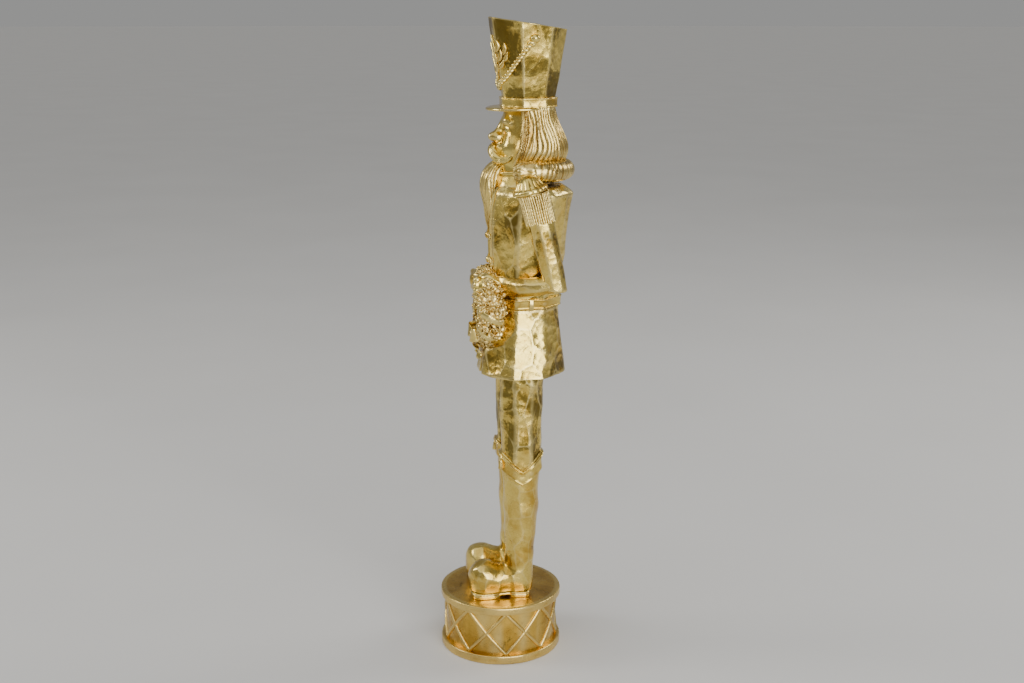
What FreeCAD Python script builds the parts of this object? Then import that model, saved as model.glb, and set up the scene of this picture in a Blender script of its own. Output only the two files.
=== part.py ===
"""Gold nutcracker figure on a toy drum: parametric document, one STEP file for each piece.

Millimetres. +Z is up, the figure looks towards -Y, and its left side is +X. The origin is the
centre of the drum's underside.
"""
import FreeCAD, Part
import math
import os

import Sketcher

doc = FreeCAD.newDocument("NutcrackerFigure")
sheet = doc.addObject("Spreadsheet::Sheet", "Sizes")

# ---------------------------------------------------------------- driving dimensions
# Heights stack from the floor upwards; "front" and "back" are Y positions of a surface.
SIZES = {
    # drum that the figure stands on
    "drum_diameter": 107.0, "drum_height": 57.8, "drum_wall": 4.5, "drum_head_thickness": 4.0,
    "hoop_thickness": 4.8, "top_hoop_height": 7.5, "bottom_hoop_height": 8.5,
    "lace_thickness": 3.6, "base_plate_thickness": 3.0, "pad_thickness": 2.0,
    # legs and boots
    "leg_spacing": 42.0, "sole_thickness": 5.6, "boot_height": 123.0, "leg_rise": 219.5,
    "sole_front": -30.9, "sole_back": -0.6, "sole_width": 34.0,
    "heel_front": 5.2, "heel_back": 25.6, "heel_width": 27.0,
    "toe_front": -32.4, "toe_height": 30.0, "toe_width": 36.0, "instep_front": -2.0,
    "ankle_front": 2.4, "ankle_back": 29.0, "ankle_width": 27.5,
    "calf_front": 1.0, "calf_back": 33.8, "calf_width": 33.0,
    "knee_front": -1.0, "knee_back": 36.0, "knee_width": 35.5,
    "thigh_front": -2.4, "thigh_back": 38.9, "thigh_width": 36.5,
    "cuff_thickness": 2.4, "cuff_band": 16.0, "cuff_peak": 20.0, "tassel_diameter": 5.0,
    "tassel_length": 14.0, "rod_diameter": 6.0, "rod_gap": 0.2, "rod_line": 16.0,
    # coat
    "skirt_height": 63.5, "hem_front": -19.8, "hem_back": 59.4, "hem_width": 93.0,
    "skirt_wall": 7.0, "hem_recess": 9.0,
    "waist_front": -6.5, "waist_back": 53.8, "waist_width": 60.0,
    "torso_height": 111.5, "torso_wall": 7.0,
    "ribs_front": -8.0, "ribs_back": 57.2, "ribs_width": 69.0,
    "chest_front": -9.0, "chest_back": 62.0, "chest_width": 79.0,
    "shoulder_front": -6.0, "shoulder_back": 66.8, "shoulder_width": 81.0,
    "top_front": -1.0, "top_back": 57.0, "top_width": 70.0,
    "belt_height": 9.0, "belt_thickness": 2.0, "buckle_width": 16.0,
    "collar_height": 12.5, "collar_thickness": 3.0,
    "placket_width": 22.0, "placket_thickness": 1.6, "frog_diameter": 7.0,
    # arms
    "arm_line": 46.0, "arm_width": 23.0, "elbow_line": 43.5, "elbow_rise": 19.2,
    "arm_front": 12.0, "arm_back": 38.0, "elbow_front": 36.5, "elbow_back": 57.0,
    "forearm_height": 17.5, "wrist_line": 22.5, "wrist_front": -4.0, "wrist_width": 17.5,
    "fist_line": 17.5, "fist_front": -27.6, "fist_height": 19.5, "fist_width": 20.0,
    "epaulette_diameter": 33.0, "epaulette_height": 12.0, "epaulette_tilt": 14.0,
    "fringe_length": 29.0, "fringe_thickness": 3.0,
    # wreath
    "wreath_diameter": 80.0, "wreath_thickness": 26.0, "wreath_line": -10.0, "wreath_rise": -4.3,
    "ribbon_width": 14.0, "ribbon_thickness": 1.2, "bow_width": 34.0, "bow_thickness": 6.0,
    # head
    "neck_height": 18.5, "neck_front": 7.0, "neck_back": 40.0, "neck_width": 31.0,
    "head_height": 51.5, "face_front": 1.8, "head_back": 44.0, "head_width": 46.0,
    "jaw_front": 3.0, "jaw_back": 41.0, "jaw_width": 42.0,
    "nose_front": -11.0, "nose_width": 11.0, "nose_rise": 24.7,
    "moustache_width": 32.0, "moustache_thickness": 8.0,
    "beard_length": 71.0, "beard_front": -18.5, "beard_width": 29.0,
    "hair_front": 16.2, "hair_back": 62.5, "hair_top_back": 49.4, "hair_width": 61.0,
    "roll_diameter": 18.6, "roll_radius": 30.0, "curl_front": 10.0,
    "dowel_diameter": 10.0, "dowel_length": 46.0,
    # hat
    "band_height": 8.5, "band_thickness": 1.6, "hat_height": 65.0, "hat_line": 26.4,
    "hat_bottom_depth": 46.4, "hat_top_depth": 70.0, "hat_wall": 5.0, "hat_slope": 8.6,
    "visor_front": -12.1, "visor_thickness": 3.0, "visor_width": 58.0,
    "rope_diameter": 4.0, "knob_diameter": 8.0, "emblem_width": 18.0, "emblem_thickness": 2.4,
}
for row, (alias, value) in enumerate(SIZES.items(), start=1):
    sheet.set(f"A{row}", alias)
    sheet.set(f"B{row}", str(value))
    sheet.setAlias(f"B{row}", alias)
doc.recompute()

# Levels, as expressions on the sheet.
DRUM_TOP = "Sizes.drum_height"
BOOT_SOLE = f"({DRUM_TOP} + Sizes.sole_thickness)"
BOOT_TOP = f"({BOOT_SOLE} + Sizes.boot_height)"
HEM = f"({DRUM_TOP} + Sizes.leg_rise)"
WAIST = f"({HEM} + Sizes.skirt_height)"
BELT_TOP = f"({WAIST} + Sizes.belt_height)"
SHOULDER = f"({WAIST} + Sizes.torso_height)"
JAW = f"({SHOULDER} + Sizes.neck_height)"
BROW = f"({JAW} + Sizes.head_height)"
BAND_TOP = f"({BROW} + Sizes.band_height)"
HAT_TOP = f"({BAND_TOP} + Sizes.hat_height)"
ELBOW = f"({BELT_TOP} + Sizes.elbow_rise)"
WREATH = f"({WAIST} + Sizes.wreath_rise)"
ROLL = f"({JAW} - 5.2)"

OCTAGON = math.tan(math.radians(22.5))
NODES = []


def spread(low, high):
    """Expression for the middle of two expressions."""
    return f"(({low}) + ({high})) / 2"


def keep(thing):
    """Mark an object as a finished piece of the figure."""
    NODES.append(thing)
    return thing


def origin_plane(body, role):
    """One of a body's own origin planes."""
    return next(item for item in body.Origin.OriginFeatures if item.Role == role)


def place_sketch(sketch, plane, centre, tilt="0"):
    """Attach a sketch to a plane of its body, moved to centre = (x, y, z) expressions."""
    sketch.AttachmentSupport = [(plane, "")]
    sketch.MapMode = "FlatFace"
    along_x, along_y, along_z = centre
    if plane.Role == "XZ_Plane":
        offset = (along_x, along_z, f"-1 * ({along_y})")
    else:
        offset = (along_x, along_y, along_z)
    sketch.setExpression("AttachmentOffset.Base.x", offset[0])
    sketch.setExpression("AttachmentOffset.Base.y", offset[1])
    sketch.setExpression("AttachmentOffset.Base.z", offset[2])
    if tilt != "0":
        sketch.AttachmentOffset = FreeCAD.Placement(
            FreeCAD.Vector(0, 0, 0), FreeCAD.Rotation(FreeCAD.Vector(1, 0, 0), 1))
        sketch.setExpression("AttachmentOffset.Rotation.Angle", tilt)


def outline_sketch(body, name, plane_role, centre, corners, tilt="0"):
    """Closed outline through corners, each a pair of expressions from the sketch's centre."""
    sketch = body.newObject("Sketcher::SketchObject", name)
    place_sketch(sketch, origin_plane(body, plane_role), centre, tilt)
    count = len(corners)
    for index in range(count):
        angle = 2 * math.pi * index / count
        ahead = 2 * math.pi * (index + 1) / count
        start = FreeCAD.Vector(10 * math.cos(angle), 10 * math.sin(angle), 0)
        end = FreeCAD.Vector(10 * math.cos(ahead), 10 * math.sin(ahead), 0)
        sketch.addGeometry(Part.LineSegment(start, end), False)
    for index in range(count):
        sketch.addConstraint(Sketcher.Constraint("Coincident", index, 2, (index + 1) % count, 1))
    for index, (across, upward) in enumerate(corners):
        for kind, expression in (("DistanceX", across), ("DistanceY", upward)):
            number = sketch.addConstraint(Sketcher.Constraint(kind, -1, 1, index, 1, 10.0 + index))
            sketch.renameConstraint(number, f"{kind}{index}")
            sketch.setExpression(f"Constraints.{kind}{index}", expression)
    return sketch


def octagon_corners(width, depth):
    """Corners of an octagon of the given width and depth, anticlockwise."""
    half_w = f"({width}) / 2"
    half_d = f"({depth}) / 2"
    small_w = f"({width}) / 2 * {OCTAGON:.5f}"
    small_d = f"({depth}) / 2 * {OCTAGON:.5f}"
    return [
        (half_w, f"-1 * {small_d}"), (half_w, small_d), (small_w, half_d),
        (f"-1 * {small_w}", half_d), (f"-1 * {half_w}", small_d),
        (f"-1 * {half_w}", f"-1 * {small_d}"), (f"-1 * {small_w}", f"-1 * {half_d}"),
        (small_w, f"-1 * {half_d}"),
    ]


def level(height, front, back, width, across="0", tilt="0"):
    """A horizontal octagon section between two Y positions."""
    return ("XY_Plane", (across, spread(front, back), height), width, f"({back}) - ({front})", tilt)


def upright(along, bottom, top, width, across="0"):
    """An upright octagon section at one Y position, between two heights."""
    return ("XZ_Plane", (across, along, spread(bottom, top)), width, f"({top}) - ({bottom})", "0")


def add_loft(body, sections, cutting=False):
    """Loft through octagon sections, added to a body or cut from it."""
    sketches = []
    for plane, centre, width, depth, tilt in sections:
        name = f"{body.Name}_section"
        corners = octagon_corners(width, depth)
        sketches.append(outline_sketch(body, name, plane, centre, corners, tilt))
    kind = "PartDesign::SubtractiveLoft" if cutting else "PartDesign::AdditiveLoft"
    loft = body.newObject(kind, f"{body.Name}_loft")
    loft.Profile = sketches[0]
    loft.Sections = sketches[1:]
    loft.Ruled = True
    body.Tip = loft
    return loft


def octagon_body(label, *lofts, hollow=None):
    """A body of one or more octagon lofts, with an optional hollow loft cut out."""
    body = doc.addObject("PartDesign::Body", label)
    for sections in lofts:
        add_loft(body, sections)
    if hollow:
        add_loft(body, hollow, cutting=True)
    return body


def plate(label, plane_role, centre, corners, thickness, tilt="0"):
    """A body padded from one outline."""
    body = doc.addObject("PartDesign::Body", label)
    sketch = outline_sketch(body, f"{label}_outline", plane_role, centre, corners, tilt)
    pad = body.newObject("PartDesign::Pad", f"{label}_pad")
    pad.Profile = sketch
    pad.setExpression("Length", thickness)
    body.Tip = pad
    return body


def turned(label, profile, centre=("0", "0", "0"), tilt="0"):
    """A body turned about its own vertical axis from a profile of (radius, height) pairs."""
    body = doc.addObject("PartDesign::Body", label)
    sketch = outline_sketch(body, f"{label}_profile", "XZ_Plane", ("0", "0", "0"), profile)
    turn = body.newObject("PartDesign::Revolution", f"{label}_turn")
    turn.Profile = sketch
    turn.ReferenceAxis = (sketch, ["V_Axis"])
    turn.Angle = 360
    body.Tip = turn
    if tilt != "0":
        body.Placement = FreeCAD.Placement(
            FreeCAD.Vector(0, 0, 0), FreeCAD.Rotation(FreeCAD.Vector(1, 0, 0), 1))
        body.setExpression("Placement.Rotation.Angle", tilt)
    for axis, expression in zip("xyz", centre):
        body.setExpression(f"Placement.Base.{axis}", expression)
    return body


def primitive(kind, label, sizes, centre, axis=None, angle=0.0):
    """A Part primitive with bound sizes, at an expression-bound place."""
    thing = doc.addObject(kind, label)
    for prop, expression in sizes.items():
        thing.setExpression(prop, expression)
    if axis:
        thing.Placement = FreeCAD.Placement(
            FreeCAD.Vector(0, 0, 0), FreeCAD.Rotation(FreeCAD.Vector(*axis), angle))
    for name, expression in zip("xyz", centre):
        thing.setExpression(f"Placement.Base.{name}", expression)
    return thing


def fuse(label, things):
    """Several solids as one object."""
    joined = doc.addObject("Part::MultiFuse", label)
    joined.Shapes = things
    joined.Refine = True
    return joined


def cut(label, base, tools):
    """A solid with the room of its neighbours taken out of it."""
    result = doc.addObject("Part::Cut", label)
    result.Base = base
    result.Tool = tools[0] if len(tools) == 1 else fuse(f"{label}_neighbours", tools)
    return result


def main_lump(label, thing):
    """The largest solid of a cut, without the slivers beside it."""
    doc.recompute()
    lump = doc.addObject("Part::Feature", label)
    lump.Shape = max(thing.Shape.Solids, key=lambda solid: solid.Volume)
    return lump


def common(label, things):
    """What several solids share."""
    result = doc.addObject("Part::MultiCommon", label)
    result.Shapes = things
    return result


def ring_profile(inner, outer, bottom, top):
    """Profile of a plain ring."""
    return [(inner, bottom), (outer, bottom), (outer, top), (inner, top)]


def side_name(side):
    """The figure's own left is +X."""
    return "left" if side > 0 else "right"


# ---------------------------------------------------------------- drum
SHELL_RADIUS = "Sizes.drum_diameter / 2"
SHELL_BORE = f"({SHELL_RADIUS} - Sizes.drum_wall)"
HOOP_RADIUS = f"({SHELL_RADIUS} + Sizes.hoop_thickness)"
HEAD_UNDER = f"({DRUM_TOP} - Sizes.drum_head_thickness)"
LACE_FOOT = "Sizes.bottom_hoop_height"
LACE_HEAD = f"({DRUM_TOP} - Sizes.top_hoop_height)"
LACINGS = 9


def build_rods():
    """Steel rods up through the heels and legs, with a slightly larger bore tool for each."""
    tools = {}
    foot = f"({DRUM_TOP} - 14)"
    length = f"Sizes.leg_rise + 40"
    for side in (1, -1):
        place = (f"{side} * Sizes.leg_spacing / 2", "Sizes.rod_line", foot)
        rod = primitive("Part::Cylinder", f"leg_rod_{side_name(side)}",
                        {"Radius": "Sizes.rod_diameter / 2", "Height": length}, place)
        keep(rod)
        tools[side] = primitive("Part::Cylinder", f"rod_bore_{side_name(side)}",
                                {"Radius": "Sizes.rod_diameter / 2 + Sizes.rod_gap",
                                 "Height": length}, place)
    return tools


def build_drum(bores):
    """Shell, head, hoops, lacing, closing plate and pad."""
    keep(turned("drum_shell", ring_profile(SHELL_BORE, SHELL_RADIUS, "0", HEAD_UNDER)))
    head = turned("drum_head_disc", ring_profile("0", SHELL_RADIUS, HEAD_UNDER, DRUM_TOP))
    keep(cut("drum_head", head, [bores[1], bores[-1]]))
    keep(turned("drum_hoop_bottom", ring_profile(SHELL_RADIUS, HOOP_RADIUS, "0", LACE_FOOT)))
    keep(turned("drum_hoop_top", ring_profile(SHELL_RADIUS, HOOP_RADIUS, LACE_HEAD, DRUM_TOP)))
    keep(turned("base_pad", ring_profile("0", SHELL_BORE, "0", "Sizes.pad_thickness")))
    keep(turned("base_plate", ring_profile(
        "0", SHELL_BORE, "Sizes.pad_thickness",
        "Sizes.pad_thickness + Sizes.base_plate_thickness")))
    build_lacing()


def build_lacing():
    """Two crossing zigzags of cord between the hoops: slanted slabs kept within a thin ring."""
    half_step = math.pi / LACINGS
    reach = f"{SHELL_RADIUS} * {math.sin(half_step):.5f}"
    over = 3.0
    rise = f"({LACE_HEAD} - {LACE_FOOT})"
    lean = f"(2 * {reach} / {rise})"
    half = "Sizes.lace_thickness * 0.65"
    inner = f"(-1 * {SHELL_RADIUS} * {math.cos(half_step):.5f} + 3)"
    slabs = []
    for hand in (1, -1):
        far = f"({hand} * ({reach} + {over} * {lean}))"
        top = f"{rise} / 2 + {over}"
        corners = [
            (f"-1 * {far} - {half}", f"-1 * ({top})"), (f"-1 * {far} + {half}", f"-1 * ({top})"),
            (f"{far} + {half}", top), (f"{far} - {half}", top),
        ]
        slab = plate("lace_slab", "XZ_Plane", ("0", inner, spread(LACE_FOOT, LACE_HEAD)), corners,
                     "Sizes.drum_diameter / 4")
        for number in range(LACINGS):
            copy = doc.addObject("Part::Compound", "lace_turn")
            copy.Links = [slab]
            turn = FreeCAD.Rotation(FreeCAD.Vector(0, 0, 1), 360.0 * number / LACINGS)
            copy.Placement = FreeCAD.Placement(FreeCAD.Vector(0, 0, 0), turn)
            slabs.append(copy)
    ring = turned("lacing_ring", ring_profile(
        SHELL_RADIUS, f"{SHELL_RADIUS} + Sizes.lace_thickness / 2", LACE_FOOT, LACE_HEAD))
    keep(common("drum_cords", [ring, fuse("lacing", slabs)]))


# ---------------------------------------------------------------- legs and boots
def leg_sections(bottom, top, lower, upper, across):
    """Two sections of a leg, lower and upper being the names of its size group."""
    return [
        level(bottom, f"Sizes.{lower}_front", f"Sizes.{lower}_back", f"Sizes.{lower}_width", across),
        level(top, f"Sizes.{upper}_front", f"Sizes.{upper}_back", f"Sizes.{upper}_width", across),
    ]


def build_boot(side, bore):
    """Boot with rounded toe, its sole and heel."""
    name = side_name(side)
    across = f"{side} * Sizes.leg_spacing / 2"
    calf = f"({BOOT_SOLE} + Sizes.boot_height * 0.68)"
    ankle = f"({BOOT_SOLE} + Sizes.toe_height)"
    shaft = [
        level(BOOT_SOLE, "Sizes.heel_front", "Sizes.heel_back", "Sizes.heel_width", across),
        level(ankle, "Sizes.ankle_front", "Sizes.ankle_back", "Sizes.ankle_width", across),
        level(calf, "Sizes.calf_front", "Sizes.calf_back", "Sizes.calf_width", across),
        level(BOOT_TOP, "Sizes.knee_front", "Sizes.knee_back", "Sizes.knee_width", across),
    ]
    foot = [
        upright("Sizes.heel_back - 6", BOOT_SOLE, f"{ankle} - 6", "Sizes.heel_width", across),
        upright("Sizes.instep_front", BOOT_SOLE, f"{ankle} - 4", "Sizes.ankle_width", across),
        upright("Sizes.toe_front + 11", BOOT_SOLE, ankle, "Sizes.toe_width", across),
        upright("Sizes.toe_front + 3", f"{BOOT_SOLE} + 1", f"{ankle} - 6", "Sizes.toe_width * 0.8",
                across),
        upright("Sizes.toe_front", f"{BOOT_SOLE} + 6", f"{ankle} - 12", "Sizes.toe_width * 0.5",
                across),
    ]
    boot = octagon_body(f"boot_{name}_form", shaft, foot)
    keep(cut(f"boot_{name}", boot, [bore]))
    sole_centre = (across, spread("Sizes.sole_front", "Sizes.sole_back"), DRUM_TOP)
    keep(plate(f"boot_sole_{name}", "XY_Plane", sole_centre,
               octagon_corners("Sizes.sole_width", "Sizes.sole_back - Sizes.sole_front"),
               "Sizes.sole_thickness"))
    heel_centre = (across, spread("Sizes.heel_front", "Sizes.heel_back"), DRUM_TOP)
    heel = plate(f"boot_heel_{name}_block", "XY_Plane", heel_centre,
                 octagon_corners("Sizes.heel_width", "Sizes.heel_back - Sizes.heel_front"),
                 "Sizes.sole_thickness")
    keep(cut(f"boot_heel_{name}", heel, [bore]))


def build_cuff(side):
    """Turned-down boot cuff with a peak at front and back, and its tassel."""
    name = side_name(side)
    across = f"{side} * Sizes.leg_spacing / 2"
    foot = f"({BOOT_TOP} - Sizes.cuff_band)"
    peak = f"({BOOT_TOP} + Sizes.cuff_peak)"
    grown = [
        level(foot, "Sizes.knee_front - Sizes.cuff_thickness", "Sizes.knee_back + Sizes.cuff_thickness",
              "Sizes.knee_width + 2 * Sizes.cuff_thickness", across),
        level(peak, "Sizes.knee_front - 2 * Sizes.cuff_thickness",
              "Sizes.knee_back + 2 * Sizes.cuff_thickness",
              "Sizes.knee_width + 2 * Sizes.cuff_thickness", across),
    ]
    outer = octagon_body(f"cuff_form_{name}", grown)
    dip = "-1 * Sizes.cuff_peak"
    lowest = "-1 * Sizes.cuff_peak - Sizes.cuff_band"
    reach = "(Sizes.knee_back - Sizes.knee_front) / 2 + 3 * Sizes.cuff_thickness"
    outline = [
        (f"-1 * ({reach})", "0"), ("0", dip), (reach, "0"),
        (reach, "-1 * Sizes.cuff_band"), ("0", lowest), (f"-1 * ({reach})", "-1 * Sizes.cuff_band"),
    ]
    body = doc.addObject("PartDesign::Body", f"cuff_band_{name}")
    sketch = outline_sketch(body, f"cuff_outline_{name}", "YZ_Plane", ("0", "0", "0"), outline)
    sketch.setExpression("AttachmentOffset.Base.x", spread("Sizes.knee_front", "Sizes.knee_back"))
    sketch.setExpression("AttachmentOffset.Base.y", peak)
    sketch.setExpression("AttachmentOffset.Base.z", across)
    pad = body.newObject("PartDesign::Pad", f"cuff_pad_{name}")
    pad.Profile = sketch
    pad.Midplane = True
    pad.setExpression("Length", "Sizes.knee_width * 1.5")
    body.Tip = pad
    band = common(f"cuff_{name}_ring", [outer, body])
    keep(cut(f"boot_cuff_{name}", band, [leg_forms[side], doc.getObject(f"boot_{name}_form")]))
    top = f"({peak} - Sizes.tassel_diameter)"
    line = "(Sizes.knee_front - 1.6 * Sizes.cuff_thickness - Sizes.tassel_diameter / 2)"
    profile = [
        ("0", "-1 * Sizes.tassel_length"),
        ("Sizes.tassel_diameter / 2", "-1 * Sizes.tassel_length"),
        ("Sizes.tassel_diameter * 0.4", "-1 * Sizes.tassel_length * 0.5"),
        ("Sizes.tassel_diameter * 0.22", "-1 * Sizes.tassel_length * 0.4"),
        ("Sizes.tassel_diameter * 0.45", "-1 * Sizes.tassel_length * 0.2"),
        ("Sizes.tassel_diameter * 0.2", "0"),
        ("0", "0"),
    ]
    tassel = turned(f"tassel_{name}_form", profile, (across, line, top))
    keep(cut(f"cuff_tassel_{name}", tassel, [doc.getObject(f"boot_cuff_{name}")]))


def build_legs(bores):
    """Trouser legs from the boot tops into the hollow under the hem."""
    forms = {}
    for side in (1, -1):
        name = side_name(side)
        across = f"{side} * Sizes.leg_spacing / 2"
        top = f"({HEM} + Sizes.hem_recess)"
        form = octagon_body(f"trouser_{name}_form",
                            leg_sections(BOOT_TOP, top, "knee", "thigh", across))
        forms[side] = form
        keep(cut(f"trouser_leg_{name}", form, [bores[side]]))
    return forms


# ---------------------------------------------------------------- coat
def torso_levels(grow="0"):
    """Sections of the coat body, all grown by the same amount."""
    rows = [
        (WAIST, "waist"), (BELT_TOP, "waist"),
        (f"({WAIST} + Sizes.torso_height * 0.34)", "ribs"),
        (f"({WAIST} + Sizes.torso_height * 0.69)", "chest"),
        (f"({SHOULDER} - Sizes.collar_height / 2)", "shoulder"),
        (SHOULDER, "top"),
    ]
    return [
        level(height, f"Sizes.{key}_front - ({grow})", f"Sizes.{key}_back + ({grow})",
              f"Sizes.{key}_width + 2 * ({grow})")
        for height, key in rows
    ]


def build_coat(bores, legs):
    """Skirt fitted over the legs, hollow body, belt and collar."""
    skirt = octagon_body("skirt_form", [
        level(HEM, "Sizes.hem_front", "Sizes.hem_back", "Sizes.hem_width"),
        level(WAIST, "Sizes.waist_front", "Sizes.waist_back", "Sizes.waist_width"),
    ], hollow=[
        level(HEM, "Sizes.hem_front + Sizes.skirt_wall", "Sizes.hem_back - Sizes.skirt_wall",
              "Sizes.hem_width - 2 * Sizes.skirt_wall"),
        level(f"{HEM} + Sizes.hem_recess", "Sizes.hem_front + Sizes.skirt_wall",
              "Sizes.hem_back - Sizes.skirt_wall", "Sizes.hem_width - 2 * Sizes.skirt_wall"),
    ])
    keep(cut("coat_skirt", skirt, [bores[1], bores[-1]] + list(legs.values())))
    torso = octagon_body("torso_form", torso_levels())
    rows = [
        (f"({WAIST} + Sizes.torso_wall)", "waist"),
        (f"({WAIST} + Sizes.torso_height * 0.34)", "ribs"),
        (f"({WAIST} + Sizes.torso_height * 0.69)", "chest"),
        (f"({SHOULDER} - Sizes.collar_height / 2 - 2 * Sizes.torso_wall)", "chest"),
    ]
    core = octagon_body("torso_core", [
        level(height, f"Sizes.{key}_front + Sizes.torso_wall",
              f"Sizes.{key}_back - Sizes.torso_wall", f"Sizes.{key}_width - 2 * Sizes.torso_wall")
        for height, key in rows
    ])
    keep(cut("coat_torso", torso, [core, dowel_bores["neck"]]))
    belt = octagon_body("belt_form", [
        level(height, "Sizes.waist_front - Sizes.belt_thickness",
              "Sizes.waist_back + Sizes.belt_thickness",
              "Sizes.waist_width + 2 * Sizes.belt_thickness")
        for height in (WAIST, BELT_TOP)
    ])
    keep(cut("belt", belt, [torso]))
    collar = octagon_body("collar_form", [
        level(height, "Sizes.neck_front - Sizes.collar_thickness",
              "Sizes.neck_back + Sizes.collar_thickness + 2",
              "Sizes.neck_width + 2 * Sizes.collar_thickness + 4")
        for height in (SHOULDER, f"{SHOULDER} + Sizes.collar_height")
    ])
    return torso, skirt, belt, collar


def proud_piece(label, sections, box, under):
    """A flat piece lying on a form: the grown form within a box, less what it lies on."""
    grown = octagon_body(f"{label}_grown", sections)
    sizes, corner = box
    window = primitive("Part::Box", f"{label}_window", sizes, corner)
    return keep(cut(label, common(f"{label}_blank", [grown, window]), under))


def build_coat_trim(torso, belt):
    """Placket, frog fastenings, belt buckle and belt keepers."""
    half = "Sizes.placket_width / 2"
    proud_piece(
        "coat_placket", torso_levels("Sizes.placket_thickness"),
        ({"Length": "Sizes.placket_width", "Width": "30", "Height": f"{SHOULDER} - {BELT_TOP}"},
         (f"-1 * {half}", "Sizes.chest_front - 10", BELT_TOP)), [torso])
    placket = doc.getObject("coat_placket")
    frogs = []
    for share in (0.38, 0.58):
        height = f"({WAIST} + Sizes.torso_height * {share})"
        face = "(Sizes.chest_front - Sizes.placket_thickness)"
        frogs.append(primitive("Part::Sphere", "frog_knot", {"Radius": "Sizes.frog_diameter / 2"},
                               ("0", face, height)))
        for side in (1, -1):
            frogs.append(primitive(
                "Part::Torus", "frog_loop",
                {"Radius1": "Sizes.frog_diameter * 0.6", "Radius2": "Sizes.frog_diameter * 0.18"},
                (f"{side} * Sizes.frog_diameter", face, height), (1, 0, 0), 90))
    frog_form = fuse("frog_form", frogs)
    keep(cut("frog_fastenings", frog_form, [placket, torso]))
    buckle = octagon_body("buckle_form", [
        upright("Sizes.waist_front + 1", f"{WAIST} - 1.5", f"{BELT_TOP} + 1.5", "Sizes.buckle_width"),
        upright("Sizes.waist_front - 2 * Sizes.belt_thickness", f"{WAIST} - 1.5",
                f"{BELT_TOP} + 1.5", "Sizes.buckle_width"),
    ])
    keep(cut("belt_buckle", buckle, [torso, belt, placket, doc.getObject("skirt_form")]))
    loops = []
    for side in (1, -1):
        loops.append(primitive(
            "Part::Box", "keeper_block",
            {"Length": "3 * Sizes.belt_thickness", "Width": "Sizes.belt_height / 2",
             "Height": "Sizes.belt_height + 2"},
            (f"{side} * (Sizes.waist_width / 2 + Sizes.belt_thickness / 2)"
             " - 1.5 * Sizes.belt_thickness",
             spread("Sizes.waist_front", "Sizes.waist_back"), f"{WAIST} - 1")))
    keep(cut("belt_keepers", fuse("keeper_pair", loops), [torso, belt, doc.getObject("skirt_form")]))


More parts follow.
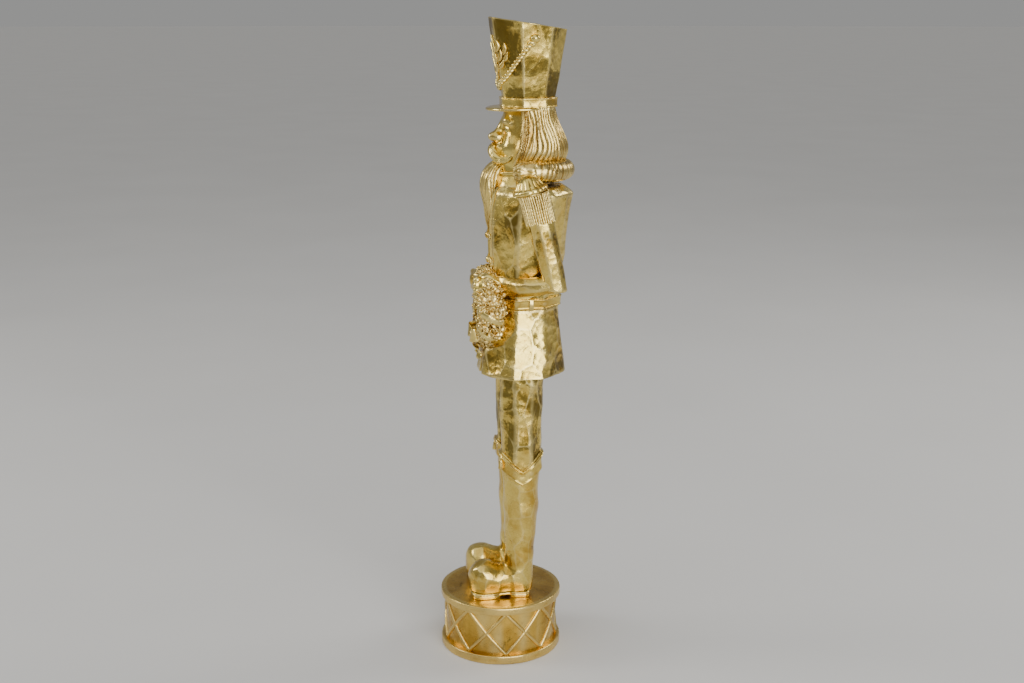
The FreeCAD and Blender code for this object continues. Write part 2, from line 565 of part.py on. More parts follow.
# ---------------------------------------------------------------- arms
def build_arm(side, torso, belt):
    """Upper arm, forearm, fist, epaulette and fringe of one side."""
    name = side_name(side)
    line = f"{side} * Sizes.arm_line"
    elbow_line = f"{side} * Sizes.elbow_line"
    arm_top = f"({SHOULDER} - 1)"
    arm_foot = f"({ELBOW} - Sizes.forearm_height / 2)"
    upper_form = octagon_body(f"upper_arm_{name}_form", [
        level(arm_top, "Sizes.arm_front", "Sizes.arm_back", "Sizes.arm_width", line),
        level(f"({arm_top} * 0.6 + {arm_foot} * 0.4)", "Sizes.arm_front * 0.55 + Sizes.elbow_front * 0.45",
              "Sizes.arm_back * 0.6 + Sizes.elbow_back * 0.4", "Sizes.arm_width * 1.05", line),
        level(arm_foot, "Sizes.elbow_front", "Sizes.elbow_back", "Sizes.arm_width", elbow_line),
    ])
    keep(cut(f"upper_arm_{name}", upper_form, [torso]))
    low = f"({ELBOW} - Sizes.forearm_height / 2)"
    high = f"({ELBOW} + Sizes.forearm_height / 2)"
    fore_form = octagon_body(f"forearm_{name}_form", [
        upright("Sizes.elbow_front + 8", low, high, "Sizes.arm_width * 0.95", elbow_line),
        upright("Sizes.elbow_front * 0.5", low, high, "Sizes.arm_width * 0.9",
                f"{side} * (Sizes.elbow_line * 0.9 + Sizes.wrist_line * 0.1)"),
        upright("Sizes.wrist_front", f"{low} + 0.5", f"{high} - 0.5", "Sizes.wrist_width",
                f"{side} * Sizes.wrist_line"),
    ])
    keep(cut(f"forearm_{name}", fore_form, [torso, belt, upper_form]))
    fist_low = f"({ELBOW} - Sizes.fist_height / 2 - 3)"
    fist_high = f"({ELBOW} + Sizes.fist_height / 2 - 3)"
    hand = octagon_body(f"hand_{name}_form", [
        upright("Sizes.wrist_front", f"{fist_low} + 1", f"{fist_high} - 1", "Sizes.wrist_width * 0.95",
                f"{side} * Sizes.wrist_line"),
        upright("Sizes.wrist_front * 0.4 + Sizes.fist_front * 0.6", fist_low, fist_high,
                "Sizes.fist_width", f"{side} * Sizes.fist_line"),
        upright("Sizes.fist_front + 3", f"{fist_low} + 2", f"{fist_high} - 2",
                "Sizes.fist_width * 0.8", f"{side} * Sizes.fist_line"),
        upright("Sizes.fist_front", f"{fist_low} + 5", f"{fist_high} - 5",
                "Sizes.fist_width * 0.45", f"{side} * Sizes.fist_line"),
    ])
    keep(cut(f"hand_{name}", hand, [torso]))
    cap_line = spread("Sizes.arm_front - 2", "Sizes.arm_back - 2")
    rim = "Sizes.epaulette_diameter / 2"
    profile = [
        ("0", "-1.5"), (f"{rim} - 3", "-1.5"), (rim, "0"), (rim, "3.5"),
        (f"{rim} * 0.72", "Sizes.epaulette_height * 0.6"),
        (f"{rim} * 0.4", "Sizes.epaulette_height * 0.92"), ("0", "Sizes.epaulette_height"),
    ]
    cap = turned(f"epaulette_{name}_form", profile, (line, cap_line, f"({SHOULDER} - 1)"),
                 "Sizes.epaulette_tilt")
    neighbours = [torso, upper_form, doc.getObject(f"curl_form_{name}"), doc.getObject("hair_roll")]
    keep(cut(f"epaulette_{name}", cap, neighbours))
    grow = "Sizes.fringe_thickness"
    foot = f"({SHOULDER} - Sizes.fringe_length)"
    fringe = octagon_body(f"fringe_{name}_form", [
        level(f"({SHOULDER} - 4)", f"Sizes.arm_front - {grow} * 0.7", f"Sizes.arm_back - 1",
              f"Sizes.arm_width + 2 * {grow}", line),
        level(foot, f"Sizes.arm_front * 0.6 + Sizes.elbow_front * 0.4 + 2",
              f"Sizes.arm_back * 0.7 + Sizes.elbow_back * 0.3",
              f"Sizes.arm_width * 1.03 + 2 * {grow}", line),
    ])
    keep(cut(f"epaulette_fringe_{name}", fringe, [torso, upper_form, cap]))


# ---------------------------------------------------------------- wreath
def build_wreath(torso, belt):
    """Leafy ring, its ribbon wraps and its bow."""
    tube = "(Sizes.wreath_thickness / 2)"
    ring = "((Sizes.wreath_diameter - Sizes.wreath_thickness) / 2)"
    centre = ("0", "Sizes.wreath_line", WREATH)
    ring_form = primitive("Part::Torus", "wreath_form", {"Radius1": ring, "Radius2": tube},
                          centre, (1, 0, 0), 90)
    arms = [doc.getObject(f"{part}_{name}_form") for part in ("hand", "forearm")
            for name in ("left", "right")]
    coat = [torso, belt, doc.getObject("skirt_form"), doc.getObject("belt_buckle"),
            doc.getObject("coat_placket"), doc.getObject("frog_fastenings")]
    keep(cut("wreath_ring", ring_form, coat + arms))
    wraps = []
    for start in (12, 100, 168, 205, 322):
        wrap = primitive(
            "Part::Torus", "ribbon_wrap",
            {"Radius1": ring, "Radius2": f"{tube} + Sizes.ribbon_thickness"}, centre)
        wrap.Angle3 = 10.0
        wrap.setExpression("Angle3", "2 * 57.3 * Sizes.ribbon_width / Sizes.wreath_diameter")
        turn = FreeCAD.Rotation(FreeCAD.Vector(1, 0, 0), 90)
        spin = FreeCAD.Rotation(FreeCAD.Vector(0, 1, 0), -start)
        wrap.Placement = FreeCAD.Placement(FreeCAD.Vector(0, 0, 0), spin.multiply(turn))
        for axis, expression in zip("xyz", centre):
            wrap.setExpression(f"Placement.Base.{axis}", expression)
        wraps.append(wrap)
    ribbon = fuse("ribbon_form", wraps)
    keep(cut("wreath_ribbon", ribbon, [ring_form] + coat + arms))
    half = "Sizes.bow_width / 2"
    bow_outline = [
        (f"{half} * 0.15", "3"), (f"{half} * 0.95", "9"), (half, "-4"), (f"{half} * 0.35", "-3"),
        (f"{half} * 0.75", "-20"), (f"{half} * 0.4", "-21"), ("0", "-6"),
        (f"-1 * {half} * 0.4", "-21"), (f"-1 * {half} * 0.75", "-20"),
        (f"-1 * {half} * 0.35", "-3"), (f"-1 * {half}", "-4"),
        (f"-1 * {half} * 0.95", "9"), (f"-1 * {half} * 0.15", "3"),
    ]
    front = f"Sizes.wreath_line - {tube} + 2"
    bow = plate("bow_form", "XZ_Plane", ("0", front, f"({WREATH} - {ring} + 2)"), bow_outline,
                "Sizes.bow_thickness")
    keep(cut("wreath_bow", bow, [ring_form, ribbon]))


# ---------------------------------------------------------------- head
def hair_levels():
    """Outer sections of the hair, narrow under the hat and flared behind the jaw."""
    return [
        level(f"{JAW} + 3", "Sizes.hair_front + 2", "Sizes.hair_back - 4", "Sizes.hair_width - 6"),
        level(f"{JAW} + 15", "Sizes.hair_front", "Sizes.hair_back", "Sizes.hair_width"),
        level(f"{JAW} + 30", "Sizes.hair_front", "Sizes.hair_back - 6", "Sizes.hair_width - 3"),
        level(BROW, "Sizes.hair_front", "Sizes.hair_top_back", "Sizes.head_width + 8"),
    ]


def build_head(torso, collar):
    """Head with neck and nose, hair with its rolled ends, beard and moustache."""
    skull = [
        level(SHOULDER, "Sizes.neck_front", "Sizes.neck_back", "Sizes.neck_width"),
        level(f"{JAW} - 3", "Sizes.neck_front", "Sizes.neck_back", "Sizes.neck_width"),
        level(f"{JAW} + 3", "Sizes.jaw_front", "Sizes.jaw_back", "Sizes.jaw_width"),
        level(f"{JAW} + 15", "Sizes.face_front", "Sizes.head_back", "Sizes.head_width"),
        level(BROW, "Sizes.face_front", "Sizes.head_back", "Sizes.head_width"),
    ]
    tip = f"({JAW} + Sizes.nose_rise)"
    nose = [
        level(f"{tip} - 7", "Sizes.face_front - 5", "Sizes.face_front + 6", "Sizes.nose_width"),
        level(tip, "Sizes.nose_front", "Sizes.face_front + 6", "Sizes.nose_width"),
        level(f"{tip} + 10", "Sizes.face_front - 0.5", "Sizes.face_front + 6", "Sizes.nose_width / 2"),
    ]
    head = octagon_body("head_form", skull, nose)
    keep(cut("head", head, [dowel_bores["neck"], dowel_bores["hat"]]))
    keep(cut("collar", collar, [head, torso]))
    rolls = build_rolls(head)
    hair = octagon_body("hair_form", hair_levels())
    keep(cut("hair", hair, [head] + rolls))
    beard_top = f"({JAW} + 1)"
    depth = "(Sizes.chest_front + 3)"
    chin = "(Sizes.jaw_front - 6)"
    beard = octagon_body("beard_form", [
        level(beard_top, chin, "Sizes.jaw_front + 6", "Sizes.beard_width * 0.8"),
        level(f"({beard_top} - Sizes.beard_length * 0.25)", "Sizes.beard_front", depth,
              "Sizes.beard_width"),
        level(f"({beard_top} - Sizes.beard_length * 0.5)", "Sizes.beard_front + 2", depth,
              "Sizes.beard_width * 0.85"),
        level(f"({beard_top} - Sizes.beard_length * 0.82)", "Sizes.beard_front + 5", depth,
              "Sizes.beard_width * 0.5"),
        level(f"({beard_top} - Sizes.beard_length)", "Sizes.beard_front + 6", depth,
              "Sizes.beard_width * 0.15"),
    ])
    placket = doc.getObject("coat_placket")
    trimmed = cut("trimmed_beard", beard, [head, torso, doc.getObject("collar"), placket,
                                           doc.getObject("frog_fastenings")])
    keep(main_lump("beard", trimmed))
    build_moustache(head, beard)
    return head, hair


def build_rolls(head):
    """Rolled ends of the hair: a half ring behind the neck and a curl on each side."""
    centre = ("0", "Sizes.roll_radius", ROLL)
    back = primitive("Part::Torus", "roll_form",
                     {"Radius1": "Sizes.roll_radius", "Radius2": "Sizes.roll_diameter / 2"}, centre)
    back.Angle3 = 180
    keep(cut("hair_roll", back, [doc.getObject("collar_form")]))
    rolls = [back]
    for side in (1, -1):
        name = side_name(side)
        curl = doc.getObject(f"curl_form_{name}")
        keep(cut(f"side_curl_{name}", curl, [head]))
        rolls.append(curl)
    return rolls


def build_curl_forms():
    """Round curls that run forward from the ends of the hair roll."""
    for side in (1, -1):
        primitive("Part::Cylinder", f"curl_form_{side_name(side)}",
                  {"Radius": "Sizes.roll_diameter / 2", "Height": "Sizes.roll_radius - Sizes.curl_front"},
                  (f"{side} * Sizes.roll_radius", "Sizes.roll_radius", ROLL), (1, 0, 0), 90)


def build_moustache(head, beard):
    """Two horns that leave the lip, hang to the jaw and turn up on the cheeks."""
    horns = []
    lip = f"({JAW} + Sizes.nose_rise - 9)"
    thick = "Sizes.moustache_thickness"
    for side in (1, -1):
        reach = "Sizes.moustache_width / 2"
        horn = octagon_body(f"horn_{side_name(side)}", [
            level(lip, "Sizes.jaw_front - 8", "Sizes.jaw_front + 2", f"{thick} * 0.9",
                  f"{side} * {reach} * 0.2"),
            level(f"{lip} - 8", "Sizes.jaw_front - 12", "Sizes.jaw_front + 3", f"{thick} * 1.3",
                  f"{side} * {reach} * 0.45"),
            level(f"{lip} - 14", "Sizes.jaw_front - 8", "Sizes.jaw_front + 8", f"{thick} * 1.2",
                  f"{side} * {reach} * 0.9"),
        ])
        horns.append(horn)
    keep(cut("moustache", fuse("moustache_form", horns), [head, beard]))


# ---------------------------------------------------------------- hat
def hat_levels(grow="0", foot=BROW, drop="0"):
    """Octagon sections of the shako, wider at the top, with a sloping crown."""
    rim_depth = f"Sizes.hat_top_depth + 2 * ({grow})"
    foot_depth = f"Sizes.hat_bottom_depth + 2 * ({grow})"
    return [
        ("XY_Plane", ("0", "Sizes.hat_line", foot), foot_depth, foot_depth, "0"),
        ("XY_Plane", ("0", "Sizes.hat_line", BAND_TOP), f"{foot_depth} + 1", f"{foot_depth} + 1", "0"),
        ("XY_Plane", ("0", "Sizes.hat_line", f"{HAT_TOP} - ({drop})"), rim_depth,
         f"({rim_depth}) / cos(Sizes.hat_slope)", "-1 * Sizes.hat_slope"),
    ]


def build_hat(head, hair):
    """Band, hollow crown, visor, rope with knobs and leaf emblem."""
    crown = octagon_body("crown_form", hat_levels())
    wall = "-1 * Sizes.hat_wall"
    core = octagon_body("crown_core", hat_levels(wall, f"({BROW} + 2 * Sizes.hat_wall)",
                                                 "Sizes.hat_wall")[::2])
    keep(cut("hat_crown", crown, [core, dowel_bores["hat"]]))
    grow = "Sizes.band_thickness"
    band = octagon_body("band_form", [
        ("XY_Plane", ("0", "Sizes.hat_line", height), f"Sizes.hat_bottom_depth + 1 + 2 * {grow}",
         f"Sizes.hat_bottom_depth + 1 + 2 * {grow}", "0") for height in (BROW, BAND_TOP)
    ])
    keep(cut("hat_band", band, [crown]))
    visor_back = "Sizes.hair_front + 4"
    visor = plate("visor_form", "XY_Plane",
                  ("0", spread("Sizes.visor_front", visor_back), f"({BROW} - Sizes.visor_thickness)"),
                  octagon_corners("Sizes.visor_width", f"{visor_back} - Sizes.visor_front"),
                  "Sizes.visor_thickness")
    keep(cut("hat_visor", visor, [head, hair]))
    build_hat_rope(crown)
    proud_piece(
        "hat_emblem", hat_levels("Sizes.emblem_thickness"),
        ({"Length": "Sizes.emblem_width", "Width": "Sizes.hat_top_depth / 2 + 10",
          "Height": "Sizes.hat_height * 0.6"},
         ("-1 * Sizes.emblem_width / 2", "Sizes.hat_line - Sizes.hat_top_depth / 2 - 10",
          f"({BAND_TOP} + Sizes.hat_height * 0.24)")), [crown, doc.getObject("rope_form")])


def build_hat_rope(crown):
    """Rope that hangs in a V from a knob on each side to the front, lying on the crown."""
    size = {alias: sheet.get(alias) for alias in SIZES}
    band_top = sum(size[key] for key in (
        "drum_height", "leg_rise", "skirt_height", "torso_height", "neck_height", "head_height",
        "band_height"))
    flare = (size["hat_top_depth"] - size["hat_bottom_depth"] - 1) / 2 / size["hat_height"]

    def reach(share):
        """Half width of the crown at a share of its height."""
        return (size["hat_bottom_depth"] + 1) / 2 + flare * size["hat_height"] * share

    knob_share, bend_share, low_share = 0.80, 0.50, 0.13
    rise = size["hat_height"]
    line = size["hat_line"]
    half_route = [
        (reach(knob_share), line + 2, band_top + rise * knob_share),
        (reach(bend_share), line - reach(bend_share) * OCTAGON, band_top + rise * bend_share),
        (reach(low_share) * OCTAGON, line - reach(low_share), band_top + rise * low_share),
    ]
    route = half_route + [(-x, y, z) for x, y, z in reversed(half_route)]
    points = [FreeCAD.Vector(*point) for point in route]
    radius = size["rope_diameter"] / 2
    pieces = [Part.makeSphere(radius, point) for point in points]
    for start, end in zip(points[:-1], points[1:]):
        pieces.append(Part.makeCylinder(radius, start.distanceToPoint(end), start, end - start))
    rope = doc.addObject("Part::Feature", "rope_form")
    rope.Shape = pieces[0].multiFuse(pieces[1:])
    knobs = []
    for point in (points[0], points[-1]):
        knob = doc.addObject("Part::Sphere", "knob_form")
        knob.setExpression("Radius", "Sizes.knob_diameter / 2")
        knob.Placement = FreeCAD.Placement(point, FreeCAD.Rotation())
        knobs.append(knob)
    knob_pair = fuse("knob_pair", knobs)
    keep(cut("hat_cord_knobs", knob_pair, [crown]))
    keep(cut("hat_cord", rope, [crown, knob_pair]))


def build_dowels():
    """Dowels that hold the head on the shoulders and the hat on the head."""
    bores = {}
    for name, joint in (("neck", SHOULDER), ("hat", BROW)):
        place = ("0", spread("Sizes.neck_front", "Sizes.neck_back"),
                 f"({joint} - Sizes.dowel_length / 4)")
        length = "Sizes.dowel_length / 2"
        keep(primitive("Part::Cylinder", f"{name}_dowel",
                       {"Radius": "Sizes.dowel_diameter / 2", "Height": length}, place))
        bores[name] = primitive("Part::Cylinder", f"{name}_dowel_bore",
                                {"Radius": "Sizes.dowel_diameter / 2 + Sizes.rod_gap",
                                 "Height": length}, place)
    return bores


# ---------------------------------------------------------------- the whole figure
rod_bores = build_rods()
dowel_bores = build_dowels()
build_drum(rod_bores)
for hand in (1, -1):
    build_boot(hand, rod_bores[hand])
leg_forms = build_legs(rod_bores)
for hand in (1, -1):
    build_cuff(hand)
torso_form, skirt_form, belt_form, collar_form = build_coat(rod_bores, leg_forms)
build_coat_trim(torso_form, belt_form)
build_curl_forms()
head_form, hair_form = build_head(torso_form, collar_form)
for hand in (1, -1):
    build_arm(hand, torso_form, belt_form)
build_wreath(torso_form, belt_form)
build_hat(head_form, hair_form)
doc.recompute()

# ---------------------------------------------------------------- check and write
for thing in doc.Objects:
    if "Invalid" in thing.State or "Error" in thing.State:
        raise RuntimeError(f"{thing.Label} did not build: {thing.State}")
for node in NODES:
    if node.Shape.isNull() or not node.Shape.isValid() or not node.Shape.Solids:
        raise RuntimeError(f"{node.Label} has no valid solid")
os.makedirs("parts", exist_ok=True)
for node in NODES:
    node.Shape.exportStep(f"parts/{node.Label}.step")
    box = node.Shape.BoundBox
    print(f"{node.Label:26s} solids {len(node.Shape.Solids)} volume {node.Shape.Volume / 1000:8.2f} cm3"
          f" x {box.XMin:7.1f} {box.XMax:7.1f} y {box.YMin:7.1f} {box.YMax:7.1f}"
          f" z {box.ZMin:7.1f} {box.ZMax:7.1f}")
print(len(NODES), "pieces")
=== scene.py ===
"""Gold nutcracker figure on a toy drum: the finished surface of every piece, built round the frame.

Lengths in this file are millimetres, in the frame's own axes: +Z up, the figure looks towards -Y and
its left side is +X. Shapes become metres when they are made into objects.
"""

from __future__ import annotations

import itertools
import logging
import math
from dataclasses import dataclass, field
from enum import Enum
from typing import Callable, Sequence

import bpy
import numpy as np
import openvdb
from mathutils import Matrix, Vector

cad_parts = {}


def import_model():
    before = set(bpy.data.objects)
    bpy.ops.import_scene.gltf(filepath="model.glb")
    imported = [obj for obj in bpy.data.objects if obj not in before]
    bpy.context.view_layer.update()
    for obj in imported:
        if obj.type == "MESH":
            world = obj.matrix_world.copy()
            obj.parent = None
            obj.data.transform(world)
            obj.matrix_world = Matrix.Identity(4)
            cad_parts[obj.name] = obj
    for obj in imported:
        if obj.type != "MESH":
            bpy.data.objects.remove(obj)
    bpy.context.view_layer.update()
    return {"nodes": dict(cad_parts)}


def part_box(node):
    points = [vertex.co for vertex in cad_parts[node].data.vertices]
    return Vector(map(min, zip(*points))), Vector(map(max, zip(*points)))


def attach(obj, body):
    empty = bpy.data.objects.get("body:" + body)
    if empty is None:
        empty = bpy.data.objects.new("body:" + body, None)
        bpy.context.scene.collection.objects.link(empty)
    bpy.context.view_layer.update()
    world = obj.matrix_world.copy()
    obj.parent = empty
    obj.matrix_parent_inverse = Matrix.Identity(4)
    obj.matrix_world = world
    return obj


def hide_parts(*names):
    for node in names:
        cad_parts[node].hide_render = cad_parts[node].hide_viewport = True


MM = 0.001
FULL = 2.0 * math.pi
LOG = logging.getLogger("nutcracker")
Array = np.ndarray
Point = tuple[float, float, float]


class Side(Enum):
    """The figure's own sides; the value is the sign of X."""

    LEFT = 1
    RIGHT = -1

    @property
    def word(self) -> str:
        """The side's name, as the frame's nodes use it."""
        return self.name.lower()


class Slot(Enum):
    """Kinds of material, named when a piece is made."""

    GOLD = "gold"
    LEAF = "leaf_gold"
    STRANDS = "stranded_gold"


# ---------------------------------------------------------------- small mathematics
def flow(at: Array, knots: Sequence[float], values: Sequence) -> Array:
    """Smooth curve through values at rising knots.

    Args:
        at: Where the curve is wanted.
        knots: Rising positions of the values.
        values: A number or a row of numbers for each knot.

    Returns:
        The curve at each position, with the values' own trailing shape.
    """
    spots = np.atleast_1d(np.asarray(at, float))
    knot = np.asarray(knots, float)
    value = np.asarray(values, float)
    flat = value.ndim == 1
    if flat:
        value = value[:, None]
    slope = np.gradient(value, knot, axis=0)
    low = np.clip(np.searchsorted(knot, spots, side="right") - 1, 0, len(knot) - 2)
    span = (knot[low + 1] - knot[low])[:, None]
    share = np.clip((spots - knot[low])[:, None] / span, 0.0, 1.0)
    square, cube = share**2, share**3
    made = (
        (2 * cube - 3 * square + 1) * value[low]
        + (cube - 2 * square + share) * span * slope[low]
        + (3 * square - 2 * cube) * value[low + 1]
        + (cube - square) * span * slope[low + 1]
    )
    return made[:, 0] if flat else made


def ripple(points: Array, wave: float, seed: int) -> Array:
    """Smooth uneven field from -1 to 1.

    Args:
        points: Positions, one row each.
        wave: About the distance between two crests.
        seed: Chooses the pattern.

    Returns:
        One value for each point.
    """
    draw = np.random.default_rng(seed)
    total = np.zeros(len(points))
    for _ in range(6):
        direction = draw.normal(size=3)
        direction *= FULL / wave * draw.uniform(0.6, 1.5) / np.linalg.norm(direction)
        total += np.sin(points @ direction + draw.uniform(0, FULL))
    return total / 3.2


def random_sites(cell: Array, seed: int) -> Array:
    """A repeatable random place within each whole-numbered cell."""
    mixed = cell[:, 0] * 73856093 ^ cell[:, 1] * 19349663 ^ cell[:, 2] * 83492791 ^ seed * 2654435761
    mixed = (mixed ^ (mixed >> 13)) & 0xFFFFF
    rows = [np.sin(mixed * 0.0129898 * step + step) * 43758.5453 for step in (1.0, 1.7, 2.3)]
    made = np.stack(rows, axis=1)
    return made - np.floor(made)


def cell_dishes(points: Array, size: Point, seed: int) -> Array:
    """Shallow dishes that meet in ridges, as small hammer or knife marks do.

    Args:
        points: Positions, one row each.
        size: Width of a mark along X, Y and Z.
        seed: Chooses the pattern.

    Returns:
        0 at the middle of each mark, rising to about 1 on the ridges between them.
    """
    scaled = points / np.asarray(size, float)
    base = np.floor(scaled).astype(np.int64)
    best = np.full(len(points), 9.0)
    for step in itertools.product((-1, 0, 1), repeat=3):
        cell = base + np.asarray(step)
        best = np.minimum(best, ((scaled - cell - random_sites(cell, seed)) ** 2).sum(axis=1))
    return np.clip(best, 0.0, 1.4)


def ridges(phase: Array, sharp: float = 0.8) -> Array:
    """Rounded ridges with narrow valleys at whole numbers of phase."""
    return np.abs(np.sin(math.pi * phase)) ** sharp


def turn(points: Array, axis: str, degrees: float, centre: Point) -> Array:
    """Points turned about an axis through a centre."""
    spin = np.array(Matrix.Rotation(math.radians(degrees), 3, axis))
    return (points - np.asarray(centre)) @ spin.T + np.asarray(centre)


# ---------------------------------------------------------------- shapes
@dataclass
class Shape:
    """A mesh in millimetres. A triangle is a quad that names its last corner twice."""

    points: Array
    faces: Array

    def joined(self, *others: "Shape") -> "Shape":
        """This shape and others as one."""
        points, faces, start = [self.points], [self.faces], len(self.points)
        for other in others:
            points.append(other.points)
            faces.append(other.faces + start)
            start += len(other.points)
        return Shape(np.concatenate(points), np.concatenate(faces))

    def normals(self) -> Array:
        """Unit normal at each point."""
        corner = self.points[self.faces]
        face = np.cross(corner[:, 2] - corner[:, 0], corner[:, 3] - corner[:, 1])
        total = np.zeros_like(self.points)
        for place in range(4):
            for axis in range(3):
                total[:, axis] += np.bincount(
                    self.faces[:, place], face[:, axis], minlength=len(self.points)
                )
        return total / np.maximum(np.linalg.norm(total, axis=1, keepdims=True), 1e-12)

    def outward(self) -> "Shape":
        """The same shape with its faces turned outwards."""
        corner = self.points[self.faces]
        first, second, third, fourth = (corner[:, index] for index in range(4))
        volume = np.einsum("ij,ij->", first, np.cross(second, third))
        volume += np.einsum("ij,ij->", first, np.cross(third, fourth))
        return self if volume > 0 else Shape(self.points, self.faces[:, [1, 0, 3, 2]])

    def edges(self) -> Array:
        """Each pair of neighbouring points once."""
        pairs = np.concatenate([self.faces[:, [a, (a + 1) % 4]] for a in range(4)])
        pairs = np.sort(pairs[pairs[:, 0] != pairs[:, 1]], axis=1)
        return np.unique(pairs, axis=0)

    def relaxed(self, rounds: int, pairs: Array | None = None) -> Array:
        """Points after each has moved towards the mean of its neighbours a number of times."""
        pairs = self.edges() if pairs is None else pairs
        count = np.bincount(pairs.ravel(), minlength=len(self.points))[:, None]
        points = self.points.copy()
        for _ in range(rounds):
            total = np.zeros_like(points)
            for axis in range(3):
                total[:, axis] = np.bincount(
                    pairs[:, 0], points[pairs[:, 1], axis], minlength=len(points)
                ) + np.bincount(pairs[:, 1], points[pairs[:, 0], axis], minlength=len(points))
            points += 0.6 * (total / np.maximum(count, 1) - points)
        return points

    def softened(self, rounds: int) -> "Shape":
        """The shape with its edges worn soft."""
        return Shape(self.relaxed(rounds), self.faces)

    def pushed(self, amount: Array) -> "Shape":
        """The shape with each point moved along its normal."""
        return Shape(self.points + self.normals() * np.asarray(amount)[:, None], self.faces)

    def hammered(self, size: Point, depth: float, seed: int) -> "Shape":
        """The shape covered in small flat marks."""
        marks = cell_dishes(self.points, size, seed) - 0.35
        return self.pushed(depth * marks)

    def recesses(self) -> Array:
        """How deep each point lies among its neighbours: over 0.5 in a recess, under it on an edge."""
        pairs = self.edges()
        normal = self.normals()
        near = np.einsum("ij,ij->i", self.relaxed(3, pairs) - self.points, normal)
        wide = np.einsum("ij,ij->i", self.relaxed(14, pairs) - self.points, normal)
        return np.clip(0.5 + near * 2.2 + wide * 0.9, 0.0, 1.0)


def skin(rows: Array, cap_rings: int = 6, closed: bool = False) -> Shape:
    """Closed skin over rows of points.

    Args:
        rows: Array of rows, points in a row, and X, Y, Z. Each row is a closed loop.
        cap_rings: Rings between each end row and the middle of its cap.
        closed: Whether the last row joins the first, which leaves no caps.

    Returns:
        The closed shape, faces outwards.
    """
    rows = np.asarray(rows, float)
    if not closed:
        shares = np.linspace(0, 1, cap_rings + 2)[1:-1]
        first, last = rows[0].mean(axis=0), rows[-1].mean(axis=0)
        foot = [first + (rows[0] - first) * share for share in shares]
        top = [last + (rows[-1] - last) * share for share in shares[::-1]]
        rows = np.concatenate([np.array(foot).reshape(-1, *rows.shape[1:]), rows,
                               np.array(top).reshape(-1, *rows.shape[1:])])
    count, around = rows.shape[:2]
    number = np.arange(count * around).reshape(count, around)
    ahead = np.roll(number, -1, axis=1)
    if closed:
        above, above_ahead = np.roll(number, -1, axis=0), np.roll(ahead, -1, axis=0)
        faces = np.stack([number, ahead, above_ahead, above], axis=-1).reshape(-1, 4)
        return Shape(rows.reshape(-1, 3), faces).outward()
    faces = np.stack([number[:-1], ahead[:-1], ahead[1:], number[1:]], axis=-1).reshape(-1, 4)
    foot_point, top_point = count * around, count * around + 1
    low = np.stack([ahead[0], number[0], np.full(around, foot_point),
                    np.full(around, foot_point)], axis=-1)
    high = np.stack([number[-1], ahead[-1], np.full(around, top_point),
                     np.full(around, top_point)], axis=-1)
    points = np.concatenate([rows.reshape(-1, 3), [rows[0].mean(axis=0)], [rows[-1].mean(axis=0)]])
    return Shape(points, np.concatenate([faces, low, high])).outward()


def block_section(half_width: float, half_height: float, count: int, square: float = 5.0) -> Array:
    """Closed rounded rectangle: across and up, for each of count points.

    Args:
        half_width: Half its size across.
        half_height: Half its size upwards.
        count: Number of points.
        square: Power of the outline: 2 is an ellipse, more is squarer.

    Returns:
        Positions across and up, one row each.
    """
    angle = np.linspace(0, FULL, count, endpoint=False)
    cosine, sine = np.cos(angle), np.sin(angle)
    across = half_width * np.sign(cosine) * np.abs(cosine) ** (2 / square)
    upward = half_height * np.sign(sine) * np.abs(sine) ** (2 / square)
    return np.stack([across, upward], axis=1)


@dataclass(frozen=True)
class Facets:
    """Flat sides of a whittled column.

    Attributes:
        facing: Direction of each flat side in degrees, 0 towards +X; none leaves it round.
        crisp: How crisp the corners between them are.
    """

    facing: tuple[float, ...] = (2.0, 47.0, 91.0, 134.0, 178.0, 226.0, 270.0, 314.0)
    crisp: float = 30.0

    def radius(self, angle: Array) -> Array:
        """Distance from the middle to the surface, about 1 on the flat sides."""
        if not self.facing:
            return np.ones_like(angle)
        total = np.zeros_like(angle)
        for direction in np.radians(self.facing):
            total += np.maximum(np.cos(angle - direction), 0.0) ** self.crisp
        return total ** (-1.0 / self.crisp)


ROUND = Facets(())


